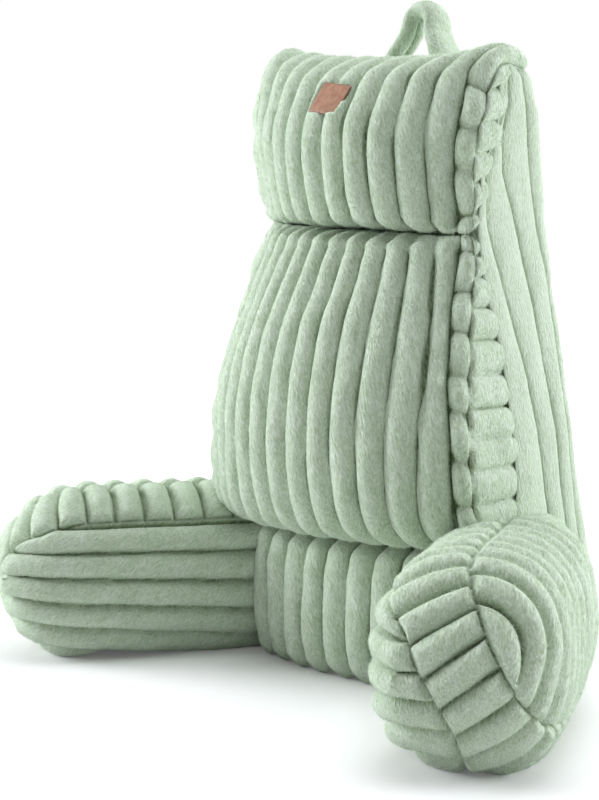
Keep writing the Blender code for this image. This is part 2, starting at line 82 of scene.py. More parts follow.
# Side of the back: its half width, its rear face and the three grooves between its side ribs
SIDE_ROWS = [
    (0.000, 0.214, 0.238, 0.165, 0.190, 0.210),
    (0.020, 0.224, 0.250, 0.170, 0.196, 0.216),
    (0.060, 0.224, 0.254, 0.173, 0.200, 0.220),
    (0.122, 0.213, 0.261, 0.188, 0.214, 0.233),
    (FOOT_Z, 0.204, 0.263, 0.194, 0.220, 0.238),
    (0.212, 0.196, 0.260, 0.192, 0.218, 0.239),
    (0.272, 0.192, 0.252, 0.184, 0.213, 0.233),
    (0.352, 0.180, 0.249, 0.169, 0.204, 0.230),
    (0.422, 0.167, 0.248, 0.153, 0.196, 0.229),
    (CREASE_Z, 0.160, 0.245, 0.137, 0.183, 0.218),
    (0.532, 0.160, 0.239, 0.134, 0.162, 0.207),
    (0.567, 0.165, 0.228, 0.146, 0.153, 0.195),
    (0.602, 0.171, 0.214, 0.150, 0.156, 0.184),
    (TOP_Z + 0.02, 0.169, 0.199, 0.153, 0.158, 0.174),
]

# A front cushion, row by row upwards: its seam on the back, the line between the lobes and the pads
# of its ends, the edge of its panel and the panel's middle, and how much its right side hangs
CUSHION_COLUMNS = "row seam_z lobe_d lobe_z edge_d edge_z mid_d mid_z lean"

LUMBAR_ROWS = [
    (0, 0.155, 0.130, 0.155, 0.130, 0.155, 0.130, 0.155, 0.0),
    (2, 0.165, 0.106, 0.159, 0.095, 0.156, 0.062, 0.1544, 0.0),
    (4, 0.179, 0.089, 0.172, 0.076, 0.168, 0.026, 0.165, 0.0),
    (6, 0.195, 0.080, 0.188, 0.066, 0.187, 0.010, 0.190, 0.0),
    (8, 0.212, 0.077, 0.207, 0.063, 0.208, 0.003, 0.220, 0.0),
    (11, 0.242, 0.074, 0.239, 0.061, 0.244, 0.000, 0.262, 0.0),
    (14, 0.272, 0.074, 0.272, 0.061, 0.280, 0.003, 0.304, 0.0),
    (18, 0.318, 0.081, 0.318, 0.067, 0.324, 0.012, 0.347, 0.0),
    (21, 0.352, 0.089, 0.352, 0.075, 0.357, 0.022, 0.378, 0.0),
    (25, 0.392, 0.098, 0.392, 0.085, 0.394, 0.038, 0.410, 0.0),
    (28, 0.422, 0.107, 0.422, 0.094, 0.422, 0.050, 0.432, 0.003),
    (31, 0.451, 0.115, 0.450, 0.104, 0.449, 0.062, 0.456, 0.006),
    (33, 0.470, 0.115, 0.468, 0.108, 0.469, 0.076, 0.474, 0.0085),
    (34, 0.4795, 0.118, 0.4795, 0.114, 0.4795, 0.104, 0.4795, 0.0085),
]

HEAD_ROWS = [
    (0, 0.4808, 0.118, 0.4808, 0.114, 0.4808, 0.104, 0.4808, 0.0085),
    (1, 0.491, 0.115, 0.486, 0.110, 0.484, 0.078, 0.483, 0.0085),
    (3, 0.512, 0.116, 0.508, 0.110, 0.505, 0.061, 0.502, 0.006),
    (5, 0.532, 0.114, 0.531, 0.105, 0.530, 0.053, 0.535, 0.005),
    (8, 0.567, 0.112, 0.565, 0.101, 0.567, 0.052, 0.577, 0.005),
    (11, 0.600, 0.118, 0.599, 0.105, 0.603, 0.066, 0.612, 0.007),
    (14, 0.633, 0.131, 0.632, 0.118, 0.649, 0.093, 0.645, 0.011),
    (16, 0.633, 0.146, 0.650, 0.145, 0.670, 0.135, 0.660, 0.011),
    (18, 0.633, 0.170, 0.651, 0.178, 0.674, 0.183, 0.659, 0.011),
    (19, 0.633, 0.182, 0.645, 0.193, 0.661, 0.202, 0.650, 0.008),
    (20, 0.633, 0.189, 0.633, 0.189, 0.633, 0.202, 0.633, 0.000),
]

# Lower front panel: depth of its middle and of its edges
LOWER_ROWS = [
    (0.000, 0.080, 0.100),
    (0.010, 0.067, 0.090),
    (0.030, 0.059, 0.084),
    (0.060, 0.056, 0.081),
    (0.090, 0.057, 0.081),
    (0.127, 0.062, 0.084),
    (0.145, 0.072, 0.092),
    (FOOT_Z - 0.001, 0.088, 0.104),
]


def table(columns: str, rows: list[tuple]) -> Array:
    """Makes a table of numbers that is read by the names of its columns.

    Args:
        columns: The columns' names, parted by blanks.
        rows: One tuple of numbers for each row.

    Returns:
        The structured table.
    """
    return np.array(rows, dtype=[(name, float) for name in columns.split()])


SEAM_LINE = table("z depth", SEAM_LINE_ROWS)
SIDE = table("z half rear groove_a groove_b groove_c", SIDE_ROWS)
LUMBAR = table(CUSHION_COLUMNS, LUMBAR_ROWS)
HEAD = table(CUSHION_COLUMNS, HEAD_ROWS)
LOWER = table("z mid_d edge_d", LOWER_ROWS)


class End(Enum):
    """Which end of the pillow a piece belongs to, as a sign of X."""

    LEFT = -1
    RIGHT = 1


def smooth(keys: Array, values: Array, at: Array) -> Array:
    """Reads a smooth curve through a table's rows.

    Args:
        keys: Rising places of the rows.
        values: What the curve passes through at them.
        at: Places to read.

    Returns:
        The curve's values there.
    """
    slopes = np.gradient(values, keys)
    i = np.clip(np.searchsorted(keys, at, side="right") - 1, 0, len(keys) - 2)
    span = keys[i + 1] - keys[i]
    t = (at - keys[i]) / span
    rise = values[i] * (2 * t**3 - 3 * t**2 + 1) + values[i + 1] * (3 * t**2 - 2 * t**3)
    return rise + span * (slopes[i] * (t**3 - 2 * t**2 + t) + slopes[i + 1] * (t**3 - t**2))


def side_half(z: Array) -> Array:
    """Gives the back's half width at any heights."""
    return np.interp(z, SIDE["z"], SIDE["half"])


def seam_depth(z: Array) -> Array:
    """Gives the depth of the plane on which the front cushions are sewn to the back."""
    return np.interp(z, SEAM_LINE["z"], SEAM_LINE["depth"])


def near_crease(z: Array, reach: float) -> Array:
    """Gives 1 at the crease under the head roll, falling to nothing a few reaches away."""
    return np.exp(-(((z - CREASE_Z) / reach) ** 2))


def arch(t: Array, power: float = 2.1, floor: float = 0.0) -> Array:
    """Gives a rib's round crown: 0 in the grooves at whole numbers of t, and 1 halfway between.

    Args:
        t: Places, counted in ribs.
        power: How square the crown is.
        floor: Share of the rib that its flat grooves take.

    Returns:
        The height at each place.
    """
    away = np.minimum(np.abs(2 * (t % 1.0) - 1) * (1 + floor), 1)
    return (1 - away**power) ** (1 / power)


def dip(distance: Array, reach: float) -> Array:
    """Gives 0 on a seam and 1 from reach on, rising roundly on both sides of it."""
    share = np.clip(np.abs(distance) / reach, 0, 1)
    return np.sqrt(1 - (1 - share) ** 2)


def ease_in(share: Array) -> Array:
    """Turns shares that rise evenly from 0 to 1 into ones that start and stop softly."""
    return share * share * (3 - 2 * share)


def across_rib(count: int) -> Array:
    """Gives places across one rib, closer together in its grooves, without its far groove."""
    return (1 - np.cos(np.linspace(0, math.pi, count + 1)[:-1])) / 2


def length_along(first: Array, second: Array) -> Array:
    """Gives the length run along a curve up to each of its points, from their two coordinates."""
    return np.concatenate([[0], np.cumsum(np.hypot(np.diff(first), np.diff(second)))])


def unit(ways: Array) -> Array:
    """Scales directions, with three numbers last, to a length of 1."""
    return ways / np.maximum(np.linalg.norm(ways, axis=-1, keepdims=True), 1e-12)


def to_world(x: Array, depth: Array, z: Array) -> Array:
    """Makes points from widths, depths and heights."""
    x, depth, z = np.broadcast_arrays(x, depth, z)
    return np.stack([x, depth + DEPTH_TO_Y, z], axis=-1)


@dataclass(frozen=True)
class Lumps:
    """Slow unevenness of a stuffed piece, the same each run.

    Attributes:
        seed: Picks the unevenness.
        size: Usual distance between two lumps.
        waves: How many waves are laid over each other.
    """

    seed: int
    size: float
    waves: int = 18

    def at(self, points: Array) -> Array:
        """Gives the unevenness, mostly within -1 and 1.

        Args:
            points: Places, with three coordinates last.

        Returns:
            One number for each place.
        """
        draw = np.random.default_rng(self.seed)
        way = unit(draw.normal(size=(self.waves, 3)))
        way *= 2 * math.pi / (self.size * draw.uniform(0.7, 1.8, (self.waves, 1)))
        phase = draw.uniform(0, 2 * math.pi, self.waves)
        total = np.zeros(points.shape[:-1])
        for wave, start in zip(way, phase):
            total += np.sin(points @ wave + start)
        return total / math.sqrt(self.waves)


@dataclass
class Skin:
    """A grid of points that wraps a filled piece, each row a closed ring.

    Attributes:
        points: The grid before its relief is raised, rows by columns.
        crown: Height of the relief at each point, 0 in a groove and 1 on a crown.
        nap: Direction in which the pile lies.
        tone: How light the plush is painted at each point, darker towards the grooves as painted shade; its crown where
            nothing is given.
        relief: Height of a crown over a groove.
        bare: Where no pile grows, one flag for each point.
        flip: Whether the grid's own normals point inwards.
        cap: Direction in which the last ring faces, where it is a slit closed from side to side.
    """

    points: Array
    crown: Array
    nap: Array
    tone: Array | None = None
    relief: float = GROOVE
    bare: Array | None = None
    flip: bool = False
    cap: Array | None = None

    def light(self) -> Array:
        """Gives the painted shading at each point, from 0, fully shaded in a groove, to 1, unshaded on a crown."""
        return ease_in(np.clip((self.crown if self.tone is None else self.tone) / SHADE_FREE_HEIGHT, 0, 1))

    def outward(self, raised: bool = False) -> Array:
        """Gives the grid's unit normals.

        Args:
            raised: Whether its relief counts.

        Returns:
            One direction for each point.
        """
        grid = self.raised() if raised else self.points
        across = (np.roll(grid, -1, axis=1) - np.roll(grid, 1, axis=1)) / 2
        normal = unit(np.cross(across, np.gradient(grid, axis=0)))
        if self.cap is not None:
            normal[-2:] = -self.cap if self.flip else self.cap
        for _ in range(1 if raised else 3):
            normal = normal + 0.5 * (np.roll(normal, 1, axis=1) + np.roll(normal, -1, axis=1))
            padded = np.concatenate([normal[:1], normal, normal[-1:]])
            normal = unit(padded[1:-1] + 0.5 * (padded[:-2] + padded[2:]))
        return -normal if self.flip else normal

    def raised(self) -> Array:
        """Gives the points with their grooves sunk."""
        return self.points - self.outward() * (self.relief * (1 - self.crown))[..., None]

    def faces(self) -> list[list[int]]:
        """Lists the faces of the grid and of its two ends.

        Returns:
            The corners of each face.
        """
        rows, columns = self.crown.shape
        row = np.arange(rows - 1)[:, None] * columns
        column = np.arange(columns)[None, :]
        beside = (column + 1) % columns
        corners = (row + column, row + beside, row + beside + columns, row + column + columns)
        corners = np.broadcast_arrays(*corners)
        faces = np.stack([corner.ravel() for corner in corners], axis=1).tolist()
        faces.append(list(range(columns))[::-1])
        end = (rows - 1) * columns
        if self.cap is None:
            faces.append(list(range(end, end + columns)))
        else:
            pairs = [(end + i, end + (columns - i) % columns) for i in range(columns // 2 + 1)]
            for (a, b), (c, d) in zip(pairs[:-1], pairs[1:]):
                faces.append(list(dict.fromkeys([a, c, d, b])))
        return [face[::-1] for face in faces] if self.flip else faces


def put_piece(name: str, mesh: bpy.types.Mesh, material: bpy.types.Material) -> bpy.types.Object:
    """Puts a mesh into the scene as a smooth piece.

    Args:
        name: The piece's name.
        mesh: Its mesh.
        material: Its finish.

    Returns:
        The new object.
    """
    mesh.materials.append(material)
    mesh.shade_smooth()
    piece = bpy.data.objects.new(name, mesh)
    bpy.context.scene.collection.objects.link(piece)
    return piece


def put_faces(name: str, points: Array, faces: list, material: bpy.types.Material) -> bpy.types.Object:
    """Makes a smooth piece from points and faces.

    Args:
        name: The piece's name.
        points: Its points, with three coordinates last.
        faces: Its faces.
        material: Its finish.

    Returns:
        The new object.
    """
    mesh = bpy.data.meshes.new(name)
    mesh.from_pydata(points.reshape(-1, 3).tolist(), [], faces)
    return put_piece(name, mesh, material)


def put_values(mesh: bpy.types.Mesh, name: str, values: Array) -> None:
    """Stores one number for each point of a mesh."""
    stored = mesh.attributes.new(name, "FLOAT", "POINT").data
    stored.foreach_set("value", values.astype(np.float32).ravel())


def put_grain(mesh: bpy.types.Mesh, points: Array, nap: Array) -> None:
    """Stores for each point of a mesh where it is, drawn together along the nap.

    Args:
        mesh: The mesh.
        points: Places, one for each of its points.
        nap: Direction in which the pile lies.
    """
    way = unit(nap)
    grain = points - NAP_PULL * (points @ way)[..., None] * way
    stored = mesh.attributes.new("grain", "FLOAT_VECTOR", "POINT").data
    stored.foreach_set("vector", grain.astype(np.float32).ravel())


@dataclass(frozen=True)
class Wiring:
    """Adds nodes to a tree, each fed with plain values or with other nodes' outputs.

    Attributes:
        tree: The node tree.
    """

    tree: bpy.types.NodeTree

    def feed(self, node: bpy.types.Node, sources: dict) -> None:
        """Feeds inputs of a node.

        Args:
            node: The node.
            sources: A value or an output for each input, by the input's name or place.
        """
        for label, source in sources.items():
            if isinstance(source, bpy.types.NodeSocket):
                self.tree.links.new(source, node.inputs[label])
            else:
                node.inputs[label].default_value = source

    def add(self, kind: str, sources: dict | None = None) -> bpy.types.Node:
        """Adds a node.

        Args:
            kind: Its type, after the prefix that all shader nodes share.
            sources: What feeds its inputs.

        Returns:
            The new node.
        """
        node = self.tree.nodes.new("ShaderNode" + kind)
        self.feed(node, sources or {})
        return node

    def stored(self, name: str, output: str = "Fac") -> bpy.types.NodeSocket:
        """Reads a value that the mesh holds for each of its points.

        Args:
            name: The value's name.
            output: Which output of the node gives it.

        Returns:
            That output.
        """
        node = self.add("Attribute")
        node.attribute_name = name
        return node.outputs[output]

    def noise(self, place: bpy.types.NodeSocket, scale: float, detail: float) -> bpy.types.NodeSocket:
        """Gives soft noise."""
        return self.add("TexNoise", {"Vector": place, "Scale": scale, "Detail": detail}).outputs["Fac"]

    def number(self, operation: str, *terms: float | bpy.types.NodeSocket) -> bpy.types.NodeSocket:
        """Works out one number from others.

        Args:
            operation: What is done with them.
            terms: The numbers, in the node's order.

        Returns:
            The result.
        """
        node = self.add("Math", dict(enumerate(terms)))
        node.operation = operation
        return node.outputs[0]

    def ramp(self, value: bpy.types.NodeSocket, start: tuple, end: tuple = (0.0, 1.0)) -> bpy.types.NodeSocket:
        """Stretches one range of numbers onto another, and holds what lies outside.

        Args:
            value: The number.
            start: The first range.
            end: What it becomes.

        Returns:
            The stretched number.
        """
        spans = {"From Min": start[0], "From Max": start[1], "To Min": end[0], "To Max": end[1]}
        return self.add("MapRange", {"Value": value, **spans}).outputs["Result"]

    def mix(
        self, share: bpy.types.NodeSocket, first: Colour | bpy.types.NodeSocket, second: Colour | bpy.types.NodeSocket
    ) -> bpy.types.NodeSocket:
        """Mixes two colours.

        Args:
            share: How much of the second counts.
            first: The first colour.
            second: The second colour.

        Returns:
            The mixed colour.
        """
        node = self.add("Mix")
        node.data_type = "RGBA"
        self.feed(node, {"Factor": share, "A": first, "B": second})
        return node.outputs["Result"]


@dataclass(frozen=True)
class Plush:
    """Sage plush: the colours of its pile from the root to the tip.

    Attributes:
        name: The material's name.
        root: Colour deep in the grooves and at the pile's roots, as painted shade.
        body: Colour of the pile's flanks.
        tip: Colour of the tips on the crowns, where no painted shade falls.
        roughness: Roughness of the pile.
        specular: How strongly it mirrors.
        sheen: How strongly the tips catch light at a glancing angle.
        through: Share of the light that passes through the blades.
        mottle: How much its tone wanders from place to place.
        patches: How many larger patches of the mottling fit in a metre.
        patchy: How much the patches count beside the fine mottling.
        fine: How many of its fine spots fit in a metre.
        tufts: Height of the fine tufts between the blades.
    """

    name: str = "ribbed_plush"
    root: Colour = (0.090, 0.140, 0.055, 1.0)
    body: Colour = (0.405, 0.508, 0.345, 1.0)
    tip: Colour = (0.675, 0.755, 0.665, 1.0)
    roughness: float = 0.9
    specular: float = 0.15
    sheen: float = 0.2
    through: float = 0.0
    mottle: float = 1.1
    patches: float = 90.0
    patchy: float = 0.25
    fine: float = 620.0
    tufts: float = 0.003

    def group(self) -> bpy.types.NodeTree:
        """Builds the node group that gives every plush its colour, once.

        Returns:
            The group: three colours, the painted shading, Shade, Mottle and Grain in, and Color and Height out.
        """
        tree = bpy.data.node_groups.get("PlushShadeAndMottle")
        if tree:
            return tree
        tree = bpy.data.node_groups.new("PlushShadeAndMottle", "ShaderNodeTree")
        given = {"ShadedRoot": "Color", "Body": "Color", "Tip": "Color", "PaintedShading": "Float", "Shade": "Float", "Mottle": "Float"}
        for label, kind in {**given, "Grain": "Vector"}.items():
            tree.interface.new_socket(name=label, in_out="INPUT", socket_type="NodeSocket" + kind)
        for label, kind in {"Color": "Color", "Height": "Float"}.items():
            tree.interface.new_socket(name=label, in_out="OUTPUT", socket_type="NodeSocket" + kind)
        wiring = Wiring(tree)
        inputs = tree.nodes.new("NodeGroupInput").outputs
        patches = wiring.noise(inputs["Grain"], self.patches, 2.0)
        fine = wiring.noise(inputs["Grain"], self.fine, 2.0)
        height = wiring.number("MULTIPLY_ADD", patches, self.patchy, fine)
        centred = wiring.number("SUBTRACT", height, (1 + self.patchy) / 2)
        mottled = wiring.number("MULTIPLY", centred, inputs["Mottle"])
        toned = wiring.number("ADD", mottled, inputs["PaintedShading"])
        shaded = wiring.number("ADD", toned, inputs["Shade"])
        shaded.node.use_clamp = True
        # The lowest values take the root colour: painted shade in the grooves and at the pile's roots
        flank = wiring.mix(wiring.ramp(shaded, (0.0, 0.5)), inputs["ShadedRoot"], inputs["Body"])
        colour = wiring.mix(wiring.ramp(shaded, (0.5, 1.0)), flank, inputs["Tip"])
        wiring.feed(tree.nodes.new("NodeGroupOutput"), {"Color": colour, "Height": height})
        return tree

    def material(self) -> bpy.types.Material:
        """Builds the plush, once.

        Returns:
            The material.
        """
        made = bpy.data.materials.get(self.name)
        if made:
            return made
        made = bpy.data.materials.new(self.name)
        made.use_nodes = True
        nodes = made.node_tree.nodes
        wiring = Wiring(made.node_tree)
        toned = nodes.new("ShaderNodeGroup")
        toned.node_tree = self.group()
        colours = {"ShadedRoot": self.root, "Body": self.body, "Tip": self.tip}
        # The stored tone is painted shading: darker in the grooves and at the pile's roots
        stored = {"PaintedShading": wiring.stored("tone"), "Shade": wiring.stored("shade")}
        grain = {"Mottle": self.mottle, "Grain": wiring.stored("grain", "Vector")}
        wiring.feed(toned, {**colours, **stored, **grain})
        bump = wiring.add("Bump", {"Strength": 0.6, "Distance": self.tufts, "Height": toned.outputs["Height"]})
        shader = nodes["Principled BSDF"]
        surface = {
            "Base Color": toned.outputs["Color"],
            "Normal": bump.outputs["Normal"],
            "Roughness": self.roughness,
            "Specular IOR Level": self.specular,
            "Sheen Weight": self.sheen,
            "Sheen Roughness": 0.5,
        }
        wiring.feed(shader, surface)
        if self.through:
            thin = wiring.add("BsdfTranslucent", {"Color": toned.outputs["Color"]})
            shaders = {1: shader.outputs["BSDF"], 2: thin.outputs["BSDF"]}
            both = wiring.add("MixShader", {"Fac": self.through, **shaders})
            wiring.feed(nodes["Material Output"], {"Surface": both.outputs["Shader"]})
        return made


@dataclass(frozen=True)
class Pile:
    """Blades of pile grown on a skin.

    Attributes:
        count: Number of blades.
        seed: Picks the blades.
        length: Length of a blade on a crown.
        width: Width of a blade at its root.
        lean: How far it leans over, 0 upright and 1 flat.
        clump: How far neighbouring blades turn off the nap together.
        stray: How far each blade turns off it alone.
        hidden: How deep its root lies under the skin.
        uneven: How much the blades differ in shade.
    """

    count: int
    seed: int
    length: float = 0.0048
    width: float = 0.0007
    lean: float = 0.9
    clump: float = 0.15
    stray: float = 0.25
    hidden: float = 0.0008
    uneven: float = 0.09

    def grow(self, name: str, skin: Skin, material: bpy.types.Material) -> bpy.types.Object:
        """Grows the blades, one triangle each.

        Args:
            name: The new piece's name.
            skin: What they grow on.
            material: Their finish.

        Returns:
            The new object.
        """
        draw = np.random.default_rng(self.seed)
        grids = (skin.raised(), skin.outward(raised=True), skin.light())
        points, outward, crown = (np.concatenate([grid, grid[:, :1]], axis=1) for grid in grids)
        side = points[:-1, 1:] - points[:-1, :-1]
        rise = points[1:, :-1] - points[:-1, :-1]
        area = np.linalg.norm(np.cross(side, rise), axis=2)
        if skin.bare is not None:
            area = area * ~skin.bare[:-1]
        # Few blades grow in the grooves
        odds = np.cumsum((area * (0.05 + crown[:-1, :-1] ** 2)).ravel())
        cell = np.searchsorted(odds, draw.random(self.count) * odds[-1])
        row, column = np.unravel_index(np.clip(cell, 0, area.size - 1), area.shape)
        u, v = draw.random((2, self.count))
        weights = ((1 - u) * (1 - v), u * (1 - v), u * v, (1 - u) * v)

        def read(grid: Array) -> Array:
            """Reads a grid's values at the blades' roots.

            Args:
                grid: One value or direction for each point of the skin.

            Returns:
                One for each blade.
            """
            corners = (grid[row, column], grid[row, column + 1], grid[row + 1, column + 1], grid[row + 1, column])
            shape = (-1,) + (1,) * (grid.ndim - 2)
            return sum(weight.reshape(shape) * corner for weight, corner in zip(weights, corners))

        root, up, high = read(points), read(outward), read(crown)
        swirl = np.stack([Lumps(self.seed + 70 + axis, 0.02).at(root) for axis in range(3)], axis=1)
        lay = skin.nap + self.clump * swirl + draw.normal(scale=self.stray, size=(self.count, 3))
        lay = unit(lay - up * np.sum(lay * up, axis=1, keepdims=True))
        lean = np.clip(self.lean + draw.normal(scale=0.07, size=(self.count, 1)), 0.4, 0.98)
        way = lay * lean + up * np.sqrt(1 - lean**2)
        turn = draw.normal(scale=0.5, size=(self.count, 1))
        wide = unit(np.cross(way, up) + turn * np.cross(way, np.cross(way, up)) * 0.3)
        length = self.length * draw.uniform(0.6, 1.15, (self.count, 1)) * (0.4 + 0.6 * high[:, None])
        root = root - up * self.hidden
        half = self.width / 2 * draw.uniform(0.7, 1.3, (self.count, 1))
        blades = np.stack([root - wide * half, root + wide * half, root + way * length], axis=1)
        normal = np.cross(blades[:, 1] - blades[:, 0], blades[:, 2] - blades[:, 0])
        inward = np.sum(normal * up, axis=1) < 0
        blades[inward, 0], blades[inward, 1] = blades[inward, 1].copy(), blades[inward, 0].copy()

        total = 3 * self.count
        mesh = bpy.data.meshes.new(name)
        mesh.vertices.add(total)
        mesh.vertices.foreach_set("co", blades.astype(np.float32).ravel())
        mesh.loops.add(total)
        mesh.loops.foreach_set("vertex_index", np.arange(total, dtype=np.int32))
        mesh.polygons.add(self.count)
        mesh.polygons.foreach_set("loop_start", np.arange(0, total, 3, dtype=np.int32))
        mesh.update(calc_edges=True)
        piece = put_piece(name, mesh, material)
        # Painted shade: blades are darker at their roots and darker all along in the grooves, and their tips stay
        # lighter on the crowns
        flank = 0.5 * high
        put_values(mesh, "tone", np.stack([flank, flank, flank + 0.35 * high], axis=1))
        put_values(mesh, "shade", np.repeat(draw.normal(scale=self.uneven, size=self.count), 3))
        put_grain(mesh, np.repeat(root, 3, axis=0), skin.nap)
        bend = unit(up + draw.normal(scale=0.25, size=(self.count, 3)))
        mesh.normals_split_custom_set_from_vertices(np.repeat(bend, 3, axis=0).tolist())
        return piece


PLUSH = Plush()
CALM_PLUSH = Plush(name="calm_plush", mottle=0.6)
PILE = Plush(
    name="plush_pile",
    root=(0.160, 0.220, 0.100, 1.0),
    body=(0.570, 0.690, 0.500, 1.0),
    tip=(0.870, 0.940, 0.870, 1.0),
    sheen=0.0,
    through=0.5,
    mottle=0.9,
)


@dataclass
class PlushPiece:
    """One filled part of the pillow.

    Attributes:
        node: The solid that it replaces.
        fill: How tightly it is filled; not used.
        blades: Number of blades of pile.
        seed: Picks its unevenness.
        lump: Height of its slow unevenness.
        relief: Height of its ribs over their grooves.
        deep: The cover's tone in its grooves, where its painted shade is darkest.
        finish: The plush of its cover.
        pile: The plush of its blades.
    """

    node: str
    fill: float = 0.75
    blades: int = 100000
    seed: int = 1
    lump: float = 0.0008
    relief: float = GROOVE
    deep: float = 0.0
    finish: Plush = PLUSH
    pile: Plush = PILE

    def skin(self) -> Skin:
        """Gives the piece's skin; each kind of piece has its own."""
        raise NotImplementedError

    def build(self) -> None:
        """Builds the stuffed cover and its pile, and ties both to the frame."""
        skin = self.skin()
        skin.relief = self.relief
        # Large soft lumps and small ones, on the crowns alone
        lumps = Lumps(self.seed, 0.06).at(skin.points) + 0.3 * Lumps(self.seed + 50, 0.018).at(skin.points)
        raise_by = self.lump * lumps * np.clip(skin.crown * 2, 0, 1)
        skin.points = skin.points + skin.outward() * raise_by[..., None]
        skin.points[..., 2] = np.maximum(skin.points[..., 2], 0.0)
        points = skin.raised()
        points[..., 2] = np.maximum(points[..., 2], 0.0)
        cover = put_faces(self.node + "_cover", points, skin.faces(), self.finish.material())
        # Painted shade: the cover is darker towards its grooves, down to deep
        put_values(cover.data, "tone", self.deep + (COVER_TONE - self.deep) * skin.light())
        put_values(cover.data, "shade", np.zeros(skin.crown.shape))
        put_grain(cover.data, points, skin.nap)
        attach(cover, "root")
        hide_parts(self.node)
        pile = Pile(self.blades, self.seed).grow(self.node + "_pile", skin, self.pile.material())
        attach(pile, "root")
        log.info("%s: %d points, %d blades", self.node, skin.crown.size, self.blades)


